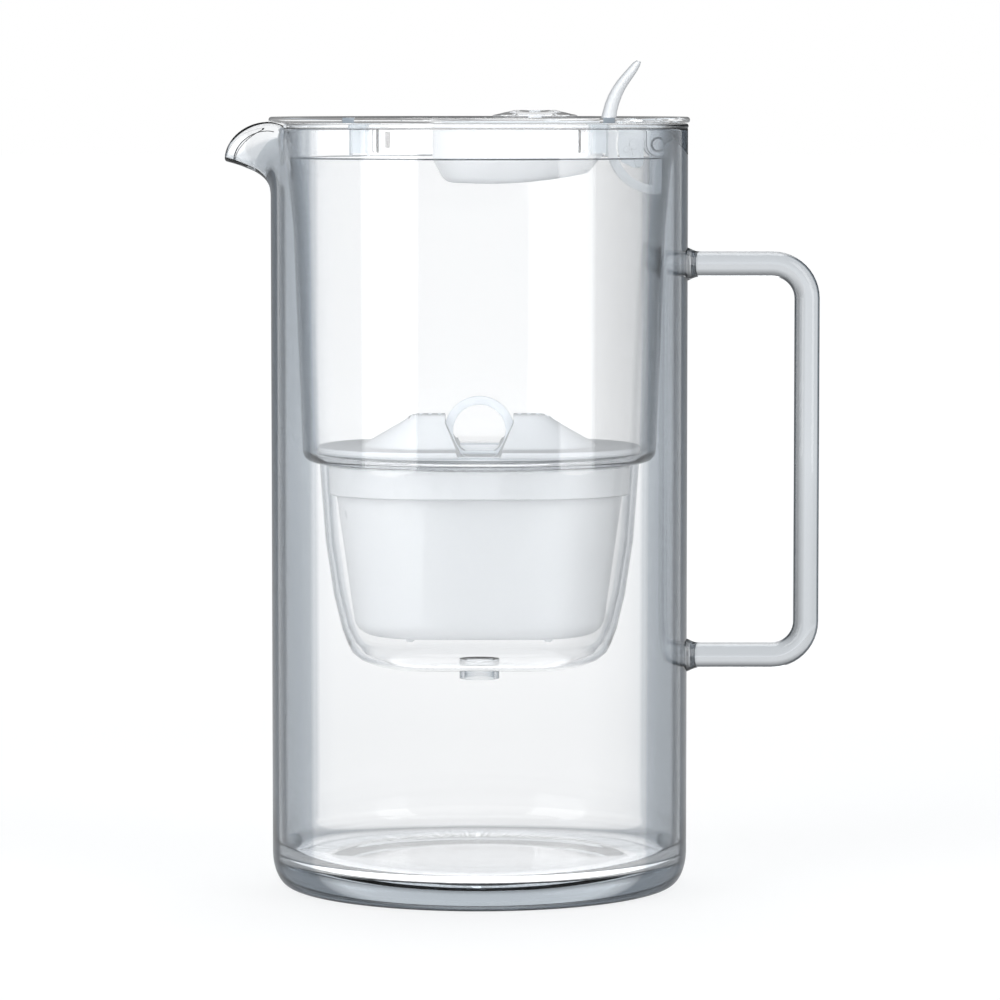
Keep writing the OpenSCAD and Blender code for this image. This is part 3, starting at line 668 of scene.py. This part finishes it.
def turn(profile, steps, centre=(0, 0), half=0.0):
    """Spin an (r, z) profile in millimetres round the Z axis; half pulls the sides apart into an oval.

    A profile that starts and ends on the axis is closed by its poles, any other one by its last edge.
    """
    pole = 1e-3
    start = pi / steps if half else 0.0
    bm = bmesh.new()
    line = []
    for r, z in profile:
        r = max(r, pole)
        line.append(bm.verts.new(Vector((r * cos(start), r * sin(start), z)) * MM))
    edges = [bm.edges.new(pair) for pair in zip(line, line[1:])]
    if profile[0][0] > 0:
        edges.append(bm.edges.new((line[-1], line[0])))
    bmesh.ops.spin(bm, geom=line + edges, cent=(0, 0, 0), axis=(0, 0, 1), dvec=(0, 0, 0), angle=2 * pi,
                   steps=steps, use_merge=True, use_normal_flip=False, use_duplicate=False)
    for v in bm.verts:
        side = half if v.co.x > 0 else -half
        if hypot(v.co.x, v.co.y) < 2 * pole * MM:
            v.co.x = v.co.y = 0
        v.co += Vector((centre[0] + side, centre[1], 0)) * MM
    bmesh.ops.remove_doubles(bm, verts=bm.verts, dist=merge_gap)
    bmesh.ops.recalc_face_normals(bm, faces=bm.faces)
    return as_object(bm)


# White plastic with strong painted shade at its outline and a faint painted glow.
white = make_white("white_plastic", tone(244, 246, 248), 0.30, 0.55, glow=0.10)
cap_z = floor_z + 1.1
cap_top = cap_z + 1.8
case_z = cap_z - 59.6
case_r = 28.5
case_low_r = 24.9
case_wide = 30.5
collar_z = cap_z - 13.4


def case_profile():
    """Outside and inside of the case, from the axis out, up, and back down to the axis."""
    body = arc(case_low_r - 6.5, case_z + 6.5, 6.5, -90, -4, 12)
    outer = [(0, case_z)] + body
    outer += [(case_wide, collar_z), (case_wide + 0.4, cap_z - 4), (case_r, cap_z - 3), (case_r, cap_z)]
    inner = [(case_r - 1.5, cap_z), (case_low_r - 1.9, case_z + 6.5)]
    inner += arc(case_low_r - 7.5, case_z + 7.0, 5.5, -5, -90, 8) + [(0, case_z + 1.5)]
    return outer + inner


dress(turn(case_profile(), 192, half=cup_half), "case", "cartridge", ["cartridge_case"], white, 35)

stud = [(0, case_z - 1.2), (0.8, case_z - 1.2), (1.2, case_z - 0.9), (1.5, case_z - 0.1),
        (1.5, case_z + 0.6), (0, case_z + 0.6)]
for number, (x, y) in enumerate(((-22.2, -14), (22.2, -14), (-22.2, 14), (22.2, 14))):
    dress(turn(stud, 32, (x, y)), f"case_foot_{number}", "cartridge", [], white, 40)

collar_r = case_wide + 2.4
collar = [(case_r - 0.5, collar_z), (collar_r - 0.3, collar_z), (collar_r, collar_z + 0.3),
          (collar_r, collar_z + 9.0), (collar_r - 0.3, collar_z + 9.3), (case_r - 0.5, collar_z + 9.3)]
dress(turn(collar, 192, half=cup_half), "collar", "cartridge", ["cartridge_collar"], white, 30)


def recolour(name, material):
    """Give a CAD node that stays as it is a finish of its own."""
    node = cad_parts[name]
    node.data.materials.clear()
    node.data.materials.append(material)


seal_look = make_white("seal_rubber", tone(222, 227, 232), 0.55)
recolour("cartridge_seal", seal_look)

# ---------------------------------------------------------------------------
# Cartridge cap: a flange on the case, and a hollow mound with inlet slots and
# a valley for the fingers. It is moulded in one and welded to the case.
# ---------------------------------------------------------------------------
# Painted light: the cap glows strongly over a darker grey base so that it looks evenly pale; its outline
# takes painted shade.
cap_white = make_white("cap_plastic", tone(176, 179, 182), 0.42, 0.30, glow=0.95)
flange_end = 36.6
mound_h = 10.3
mound_low = 21.6
mound_high = 5.0
mound_wall = 1.6
ring_z = cap_z + 6.6
ring_hole = 8.5
ring_band = 2.8
valley_r = ring_hole + 1.1


def circle(cx, cy, r, a0=0, a1=360, steps=96):
    """Points round a circle; a whole turn leaves out the repeated last point."""
    count = steps if abs(a1 - a0) >= 360 else steps + 1
    return [(cx + r * cos(radians(a0 + (a1 - a0) * i / steps)),
             cy + r * sin(radians(a0 + (a1 - a0) * i / steps))) for i in range(count)]


def flat(u, v, w):
    """Places a plan view: u along X, v along Y, w up."""
    return (u, v, w)


def upright(u, v, w):
    """Places a side view: u along X, v up, w along Y."""
    return (u, w, v)


def block(x0, x1, y0, y1, z0, z1):
    """A block along the axes, between two places on each."""
    return slab([[(x0, y0), (x1, y0), (x1, y1), (x0, y1)]], z0, z1, flat)


def carve(shape, *steps):
    """Add or cut other raw meshes: steps are (operation, mesh object)."""
    for operation, other in steps:
        work = shape.modifiers.new("carve", "BOOLEAN")
        work.operation = operation
        work.object = other
        work.solver = "EXACT"
    ready = shape.evaluated_get(bpy.context.evaluated_depsgraph_get())
    mesh = bpy.data.meshes.new_from_object(ready)
    shape.modifiers.clear()
    shape.data = mesh
    for _, other in steps:
        bpy.data.objects.remove(other)
    return shape


def mound(inset):
    """Outline of the mound from the axis out, with its two rounded shoulders."""
    top = cap_top + mound_h - inset
    foot = [(mound_low + 1.5 - inset, cap_top), (mound_low + 0.6 - inset, cap_top + 0.15),
            (mound_low - 0.4 - inset, cap_top + 0.8)]
    shoulder = [(mound_high + 3.0 - inset * 0.6, top - 1.7), (mound_high + 1.8 - inset * 0.6, top - 0.6),
                (mound_high + 0.4 - inset * 0.6, top - 0.1), (mound_high - 1.2, top)]
    return foot, shoulder


def valley(extra):
    """The finger valley across the cap, as a long bar with a round bottom."""
    r = valley_r + extra
    floor = ring_z - valley_r + 2.2 - extra
    a = degrees(asin((floor - ring_z) / r))
    wide = valley_r + 1.5 + extra
    outline = circle(0, ring_z, r, 180 - a, 360 + a, 40)
    outline += [(wide, ring_z + 3), (wide, ring_z + 20), (-wide, ring_z + 20), (-wide, ring_z + 3)]
    return slab([outline], -60, 60, upright)


foot, shoulder = mound(0)
cap_outline = [(0, cap_z - 3), (case_r - 1.7, cap_z - 3), (case_r - 1.7, cap_z), (flange_end - 0.3, cap_z),
               (flange_end, cap_z + 0.4), (flange_end, cap_top - 0.5), (flange_end - 0.5, cap_top)]
cap = turn(cap_outline + foot + shoulder + [(0, cap_top + mound_h)], 192, half=cup_half)
foot, shoulder = mound(mound_wall)
room = [(0, cap_z - 4), (mound_low - mound_wall, cap_z - 4), (mound_low - mound_wall, cap_top)]
room += foot[1:] + shoulder + [(0, cap_top + mound_h - mound_wall)]
hollow = carve(turn(room, 192, half=cup_half), ("DIFFERENCE", valley(mound_wall)))
ring_room = slab([circle(0, ring_z, ring_hole + ring_band + 0.1)], -1.3, 1.3, upright)
cap = carve(cap, ("DIFFERENCE", hollow), ("DIFFERENCE", valley(0)), ("DIFFERENCE", ring_room))
slots = []
for x in (13, 16, 19, 22):
    for side_x in (-1, 1):
        slots.append(("DIFFERENCE", block(side_x * x - 0.6, side_x * x + 0.6, -3.4, 3.4,
                                          cap_top + mound_h - 3, cap_top + mound_h + 1)))
cap = carve(cap, *slots)
dress(cap, "cap", "cartridge", ["cartridge_cap"], cap_white, 32)

# ---------------------------------------------------------------------------
# Pull ring: a milky band that stands in the valley, clipped into the cap, to
# lift the cartridge by.
# ---------------------------------------------------------------------------

def soften(shape, width, steps=2, angle=35):
    """Round the sharp edges of a raw mesh."""
    bm = bmesh.new()
    bm.from_mesh(shape.data)
    bmesh.ops.dissolve_limit(bm, angle_limit=radians(0.5), verts=bm.verts, edges=bm.edges)
    sharp = [e for e in bm.edges if len(e.link_faces) == 2 and e.calc_face_angle(0) > radians(angle)]
    bmesh.ops.bevel(bm, geom=sharp, offset=width * MM, segments=steps, profile=0.5, affect="EDGES",
                    clamp_overlap=True, material=-1)
    bm.to_mesh(shape.data)
    bm.free()
    return shape


# Milky plastic with painted shade at its outline and a faint painted glow.
milky = make_white("milky_plastic", tone(234, 238, 242), 0.3, 0.50, glow=0.12)
ring_t = 2.4
ring_low = degrees(asin((ring_hole - 0.9) / (ring_hole + ring_band)))
ring_floor = degrees(asin((ring_hole - 1.9) / ring_hole))
outline = circle(0, ring_z, ring_hole + ring_band, -ring_low, 180 + ring_low, 96)
hole = circle(0, ring_z, ring_hole, -ring_floor, 180 + ring_floor, 72)
band = slab([outline, hole], -ring_t / 2, ring_t / 2, upright)
dress(soften(band, 0.35), "pull_ring", "cartridge", ["pull_ring"], milky, 40)

# ---------------------------------------------------------------------------
# What the case holds: a felt pad and a bed of black granules between two woven
# screens. They keep the CAD solids' shapes.
# ---------------------------------------------------------------------------
fibre = Finish("felt", Roughness=0.95)
fuzz = fibre.noise(380.0, 6.0)
fibre.feed("Base Color", fibre.mix(fuzz, tone(232, 234, 232), tone(250, 250, 248)))
fibre.bump(fuzz, 0.0006, 0.8)
recolour("felt_pad", fibre.mat)

grains = Finish("carbon", Roughness=0.75)
place = grains.node("ShaderNodeTexCoord", output="Object")
cells = grains.node("ShaderNodeTexVoronoi", {"Vector": place, "Scale": 900.0})
grains.feed("Base Color", grains.mix(cells, tone(22, 23, 25), tone(70, 73, 78)))
grains.bump(cells, 0.0008, 0.9)
recolour("filter_media", grains.mat)

mesh_look = Finish("screen_mesh", Roughness=0.5)
place = mesh_look.node("ShaderNodeTexCoord", output="Object")
weave = mesh_look.node("ShaderNodeTexWave", {"Vector": place, "Scale": 420.0})
mesh_look.feed("Base Color", mesh_look.mix(weave, tone(196, 201, 206), tone(240, 242, 244)))
mesh_look.bump(weave, 0.0004, 0.7)
recolour("lower_screen", mesh_look.mat)
recolour("upper_screen", mesh_look.mat)

# ---------------------------------------------------------------------------
# Lid: one clear disc on the tank's flange with a thin skirt inside the neck,
# a filling hole with a recessed rim, four rim notches over snap tongues.
# ---------------------------------------------------------------------------
# Clear lid plastic, greyer towards its outline and with a faint glow: painted shade and painted light.
lid_clear = make_glass(
    "lid_clear",
    [(0.0, (1, 1, 1, 1)), (0.60, (0.97, 0.975, 0.98, 1)), (0.85, (0.90, 0.91, 0.92, 1)),
     (1.0, (0.66, 0.69, 0.72, 1))],
    2.5, 1.30, 0.05, glow=0.05)
lid_r = 68.1
plate_z = tank_top + 0.2
lid_top = plate_z + 1.8
skirt_r = neck_r - tank_wall - 0.35
skirt_t = 1.6
skirt_z = plate_z - 11.4
hole_x = 12.4
hole_r = 29.4
hatch_z = lid_top - 1.2
hatch_r = hole_r + 2.6
collar_low = lid_top - 3.6
pin_x = 57.3
pin_z = lid_top - 8.9
recess_end = pin_x - 6.5
tab_end = pin_x - 8.3
tab_half = 10.0
notch_angles = (53, 127, 233, 307)
tongue_w = 5.4
notch_half = 2.45
recess_gap = 0.4
recess_slide = 0.7
arm_slot_in, arm_slot_out = 1.4, 5.4


def turned_block(angle, r0, r1, half, z0, z1):
    """A block that reaches from radius r0 to r1 at an angle round the Z axis."""
    return slab([[(r0, z0), (r1, z0), (r1, z1), (r0, z1)]], -half, half, outward(angle))


def hatch_outline(gap, tab, shift=0.0):
    """The hatch seen from above: a round plate with a straight tab towards the hinge."""
    r = hatch_r + gap
    half = tab_half + gap
    a = degrees(asin(half / r))
    return circle(hole_x + shift, 0, r, a, 360 - a, 120) + [(tab, -half), (tab, half)]


edge = [(0, plate_z), (lid_r - 0.5, plate_z), (lid_r - 0.15, plate_z + 0.2), (lid_r, plate_z + 0.6),
        (lid_r, lid_top - 0.8), (lid_r - 0.2, lid_top - 0.25), (lid_r - 0.7, lid_top), (0, lid_top)]
lid = turn(edge, 288)
skirt_in = skirt_r - skirt_t
skirt = [(skirt_in, plate_z + 0.5), (skirt_in, skirt_z + 0.3), (skirt_in + 0.3, skirt_z),
         (skirt_r - 0.4, skirt_z), (skirt_r, skirt_z + 0.5), (skirt_r, plate_z + 0.5)]
wall = turn(skirt, 288)
neck_slots = []
for angle in notch_angles:
    window = turned_block(angle, skirt_r - 5, skirt_r + 5, tongue_w / 2 + 0.8, skirt_z + 1.2, plate_z)
    neck_slots.append(("DIFFERENCE", window))
neck_slots.append(("DIFFERENCE", block(skirt_r - 8, skirt_r + 12, -8.5, 8.5, skirt_z - 1, plate_z)))
wall = carve(wall, *neck_slots)
rim = slab([hatch_outline(2.6, recess_end + 2.4)], collar_low, lid_top - 0.3, flat)
trim = [("UNION", wall), ("UNION", rim)]
for shift in (0, recess_slide):
    recess = slab([hatch_outline(recess_gap, recess_end, shift)], hatch_z - 0.1, lid_top + 2, flat)
    trim.append(("DIFFERENCE", recess))
trim += [("DIFFERENCE", slab([circle(hole_x, 0, hole_r, steps=144)], collar_low - 4, lid_top + 2, flat))]
slot_far = pin_x - sqrt(16 ** 2 - 7.1 ** 2) - 1.4
slot_near = pin_x - sqrt(13.2 ** 2 - 8.9 ** 2) + 0.9
for y0, y1 in ((arm_slot_in, arm_slot_out), (-arm_slot_out, -arm_slot_in)):
    trim.append(("DIFFERENCE", block(slot_far, slot_near, y0, y1, collar_low - 1, lid_top + 2)))
for angle in notch_angles:
    notch = turned_block(angle, lid_r - 2.6, lid_r + 8, notch_half, plate_z - 1, lid_top + 2)
    trim.append(("DIFFERENCE", notch))
lid = carve(lid, *trim)
dress(lid, "lid", "lid", ["lid_cover"], lid_clear, 15)
# The skirt darkens near black towards its outline and glows faintly: painted shade and painted light.
skirt_clear = make_glass(
    "skirt_clear",
    [(0.0, (1, 1, 1, 1)), (0.55, (0.99, 0.992, 0.995, 1)), (0.75, (0.80, 0.82, 0.84, 1)),
     (1.0, (0.10, 0.12, 0.14, 1))],
    4.0, 1.20, 0.06, glow=0.09)
# The sides of the skirt's windows and the snap tongues glow pale: painted light.
slot_pale = make_white("slot_plastic", tone(226, 231, 235), 0.35, 0.60, glow=0.25, clear=0.35)
for material in (skirt_clear, painted_shade_line, slot_pale):
    lid.data.materials.append(material)
recolour("snap_tongues", slot_pale)
# The skirt takes skirt_clear, its bottom edge the painted dark line of shade, and the sides of its windows
# the pale glowing slot plastic.
for face in lid.data.polygons:
    x, y, z = face.center / MM
    if z < plate_z - 0.05 and hypot(x, y) > skirt_in - 0.3:
        face.material_index = 2 if z < skirt_z + 0.5 else 1
        if abs(face.normal.x * y - face.normal.y * x) > 0.7 * hypot(x, y):
            face.material_index = 3

# ---------------------------------------------------------------------------
# Hinge lugs and rim pads: two lugs are moulded under the lid's plate, and four
# soft grey pads sit in the notches of its rim.
# ---------------------------------------------------------------------------

def shade_edge_sides(piece, material):
    """Paint the chamfers round a piece's two flat sides dark: painted shade that draws the piece's outline.
    """
    piece.data.materials.append(material)
    for face in piece.data.polygons:
        if 0.2 < abs(face.normal.y) < 0.95:
            face.material_index = 1


# Dark grey for the chamfers: painted shade along the outline.
edge_shade_grey = make_white("painted_edge_shade", tone(62, 72, 84), 0.45, 0.80)
lug_in, lug_out = 5.4, 7.9
lug_r = 3.8
pin_r = 2.15
# The lugs and the stop are pale and translucent, with a painted glow of their own.
lug_clear = make_white("lug_plastic", tone(226, 231, 235), 0.35, 0.60, glow=0.25, clear=0.35)
for number, side in enumerate((-1, 1)):
    tab = circle(pin_x, pin_z, lug_r, 180, 360, 36)
    tab += [(pin_x + lug_r, plate_z + 0.02), (pin_x - lug_r, plate_z + 0.02)]
    w0, w1 = sorted((side * lug_in, side * lug_out))
    lug = slab([tab, circle(pin_x, pin_z, pin_r + 0.01, steps=48)], w0, w1, upright)
    stands_for = ["hinge_lugs"] if number == 0 else []
    shade_edge_sides(dress(soften(lug, 0.25), f"hinge_lug_{number}", "lid", stands_for, lug_clear, 35), edge_shade_grey)

# The pads glow faintly: painted light.
pad_grey = make_white("pad_plastic", tone(150, 160, 169), 0.45, 0.80, glow=0.15)
for number, angle in enumerate(notch_angles):
    pad = turned_block(angle, lid_r - 2.55, lid_r - 0.3, notch_half - 0.01, plate_z + 0.05, lid_top - 0.05)
    dress(soften(pad, 0.2), f"notch_pad_{number}", "lid", [], pad_grey, 35)

# ---------------------------------------------------------------------------
# Stop web and hinge pin: a slanted bar with two bosses stands between the lugs
# and stops the hatch. The milky pin is pressed through the lugs.
# ---------------------------------------------------------------------------
web = [(pin_x - 12.2, collar_low + 0.3)] + circle(pin_x, pin_z, 12.5, 168, 207, 16)
web += [(pin_x - 9.3, pin_z - 6.5), (pin_x - 7.4, pin_z - 7.4), (pin_x - 5.5, pin_z - 7.5),
        (pin_x - 4.4, pin_z - 6.8), (pin_x - 4.0, pin_z - 5.4), (pin_x - 4.0, collar_low + 0.3)]
stop = slab([web], -0.9, 0.9, upright)
lean = radians(14)
bar = [(-1.2, 0), (-1.2, -6.6), (-0.6, -7.4), (0.6, -7.4), (1.2, -6.6), (1.2, 0)]
bar = [(pin_x - 7.2 + u * cos(lean) - v * sin(lean), pin_z + u * sin(lean) + v * cos(lean)) for u, v in bar]
stop = carve(stop, ("UNION", slab([bar], -1.2, 1.2, upright)),
             ("UNION", slab([circle(pin_x - 7.2, pin_z, 1.6, steps=48)], -1.3, 1.3, upright)),
             ("UNION", slab([circle(pin_x - 9.7, pin_z - 1.7, 0.9, steps=32)], -1.3, 1.3, upright)))
shade_edge_sides(dress(soften(stop, 0.2), "stop", "lid", ["lever_stop"], lug_clear, 35), edge_shade_grey)

pin_long = 16.2
pin = turn([(0, 0), (pin_r - 0.4, 0), (pin_r, 0.4), (pin_r, pin_long - 0.4), (pin_r - 0.4, pin_long),
            (0, pin_long)], 64)
lay_down = Matrix.Rotation(radians(-90), 4, "X")
pin.data.transform(Matrix.Translation(Vector((pin_x, -pin_long / 2, pin_z)) * MM) @ lay_down)
shade_edge_sides(dress(pin, "pin", "lid", ["hinge_pin"], milky, 40), edge_shade_grey)

# ---------------------------------------------------------------------------
# Hatch plate: a thin clear plate that lies in the lid's recess on a soft
# gasket and covers the filling hole. The hole in it takes the dial's post.
# ---------------------------------------------------------------------------
dial_x = 18.0
post_r = 2.2
plate = slab([hatch_outline(0, tab_end), circle(dial_x, 0, post_r, steps=48)], hatch_z, lid_top, flat)
dress(soften(plate, 0.25), "hatch", "hatch", ["hatch_plate"], lid_clear, 15)
recolour("hatch_gasket", seal_look)

# ---------------------------------------------------------------------------
# Splash bowl: a white shell under the hatch plate that catches drips when the
# hatch is opened. Its floor rises towards the hinge.
# ---------------------------------------------------------------------------
bowl_r = 27.6
bowl_z = hatch_z - 20.1
bowl_wall = 1.4


def bowl_outline(inset):
    """One skin of the bowl, from the axis out and up."""
    r, z = bowl_r - inset, bowl_z + inset
    return [(0, z), (r - 9, z), (r - 6.2, z + 0.15), (r - 4.8, z + 0.5), (r - 3.8, z + 1.2),
            (r - 3.0, z + 2.2), (r - 1.8, z + 4.4), (r - 0.6, z + 6.6), (r - 0.12, z + 7.7), (r, z + 9.0)]


outline = bowl_outline(0) + [(bowl_r, hatch_z), (bowl_r - bowl_wall, hatch_z)]
outline += bowl_outline(bowl_wall)[::-1]
bowl = turn(outline, 192, (hole_x, 0))


def tilt(p):
    """The bowl's floor rises towards the hinge, so that splashes run to the middle."""
    x, y, z = p
    rise = 3.4 * max(0.0, (x - 4) / 34) ** 1.6
    share = max(0.0, min(1.0, (bowl_z + 11 - z) / 9))
    return Vector((x, y, z + rise * share))


for vertex in bowl.data.vertices:
    vertex.co = tilt(vertex.co / MM) * MM
dress(bowl, "bowl", "hatch", ["splash_bowl"], white, 50)

# ---------------------------------------------------------------------------
# Gooseneck arms: two milky arms that run from the hatch plate down round the
# pin, so that the hatch clears the lid as it swings up.
# ---------------------------------------------------------------------------
# Softer grey for the arms' chamfers: painted shade along the outline.
edge_shade_soft = make_white("painted_soft_edge_shade", tone(104, 114, 126), 0.45, 0.80)
neck_outer = 16.0
neck_band = 2.8
arm_in, arm_out = 1.9, 4.9
reach = degrees(asin((hatch_z - pin_z) / neck_outer))
reach_in = degrees(asin((hatch_z - pin_z) / (neck_outer - neck_band)))
for number, side in enumerate((-1, 1)):
    outer = circle(pin_x, pin_z, neck_outer, 180 - reach, 270, 60)
    inner = circle(pin_x, pin_z, neck_outer - neck_band, 264, 180 - reach_in, 60)
    outline = outer + [(pin_x + 1.6, pin_z - 15.7), (pin_x + 1.6, pin_z - 3.0)]
    outline += circle(pin_x, pin_z, 3.4, -62, 242, 48)
    outline += [(pin_x - 1.6, pin_z - 3.0), (pin_x - 1.6, pin_z - 12.4)]
    outline += inner
    w0, w1 = sorted((side * arm_in, side * arm_out))
    arm = slab([outline, circle(pin_x, pin_z, pin_r + 0.06, steps=48)], w0, w1, upright)
    stands_for = ["gooseneck_arms"] if number == 0 else []
    shade_edge_sides(dress(soften(arm, 0.3), f"gooseneck_{number}", "hatch", stands_for, milky, 40), edge_shade_soft)

# ---------------------------------------------------------------------------
# Thumb lever: a thin white blade on the hatch, curved away from the hinge and
# rounded at its tip. It is moulded on the plate.
# ---------------------------------------------------------------------------
lever_h = 18.2
lever_w = 17.0
lever_x = 39.5
# Side view of the blade's two edges: x from its foot, and the share of its height.
back_edge = [(0, 0), (0.5, 0.10), (1.2, 0.24), (2.2, 0.38), (3.5, 0.51), (5.1, 0.64), (7.0, 0.765),
             (8.8, 0.875), (10.3, 0.965), (11.3, 0.998)]
front_edge = [(4.8, 0), (5.0, 0.09), (5.6, 0.22), (6.5, 0.36), (7.6, 0.49), (9.0, 0.61), (10.4, 0.72),
              (11.7, 0.83), (12.5, 0.92), (12.7, 0.975)]
tip_r = 6
loop_cols = 40
lever_rows = []
for (x0, z0), (x1, z1) in zip(back_edge, front_edge):
    mid = Vector(((x0 + x1) / 2, (z0 + z1) / 2 * lever_h))
    half = Vector(((x1 - x0) / 2, (z1 - z0) / 2 * lever_h))
    height = mid.y
    over = max(0.0, height - (lever_h - tip_r)) / tip_r
    wide = lever_w / 2 - tip_r + tip_r * sqrt(max(0.0, 1 - min(1.0, over) ** 2))
    row = []
    for i in range(loop_cols):
        a = 2 * pi * i / loop_cols
        c, w = cos(a), sin(a)
        across = (abs(c) ** 0.5) * (1 if c > 0 else -1)
        along = abs(w) * (1 if w > 0 else -1)
        row.append((lever_x + mid.x + half.x * along, wide * across, lid_top + mid.y + half.y * along))
    lever_rows.append(row)
dress(skin(lever_rows), "lever", "hatch", ["thumb_lever"], white, 50)

# ---------------------------------------------------------------------------
# Reminder dial: a low clear disc with a finger well round its middle. It turns
# on a milky post that is fixed in the hatch plate.
# ---------------------------------------------------------------------------
post = [(0, hatch_z), (post_r, hatch_z), (post_r, lid_top + 1.2), (3.2, lid_top + 1.2),
        (3.4, lid_top + 1.4), (3.1, lid_top + 1.8), (0, lid_top + 1.9)]
dress(turn(post, 64, (dial_x, 0)), "post", "hatch", ["dial_post"], milky, 40)

dial_z = lid_top + 0.2
dial_hole = post_r + 0.08
disc = [(dial_hole, dial_z), (13.4, dial_z), (13.8, dial_z + 0.15), (13.3, dial_z + 0.45),
        (11.8, dial_z + 0.75), (9.6, dial_z + 1.3), (7.7, dial_z + 1.75), (6.7, dial_z + 1.97),
        (6.0, dial_z + 2.0), (5.6, dial_z + 1.8), (5.2, dial_z + 1.1), (4.9, dial_z + 0.75),
        (dial_hole, dial_z + 0.7)]
# Clear dial plastic, greyer towards its outline and with a faint glow: painted shade and painted light.
dial_clear = make_glass(
    "dial_clear",
    [(0.0, (1, 1, 1, 1)), (0.60, (0.95, 0.955, 0.96, 1)), (1.0, (0.62, 0.65, 0.68, 1))],
    3.0, 1.22, 0.02, glow=0.05)
dress(turn(disc, 144, (dial_x, 0)), "dial", "dial", ["reminder_dial"], dial_clear, 18)
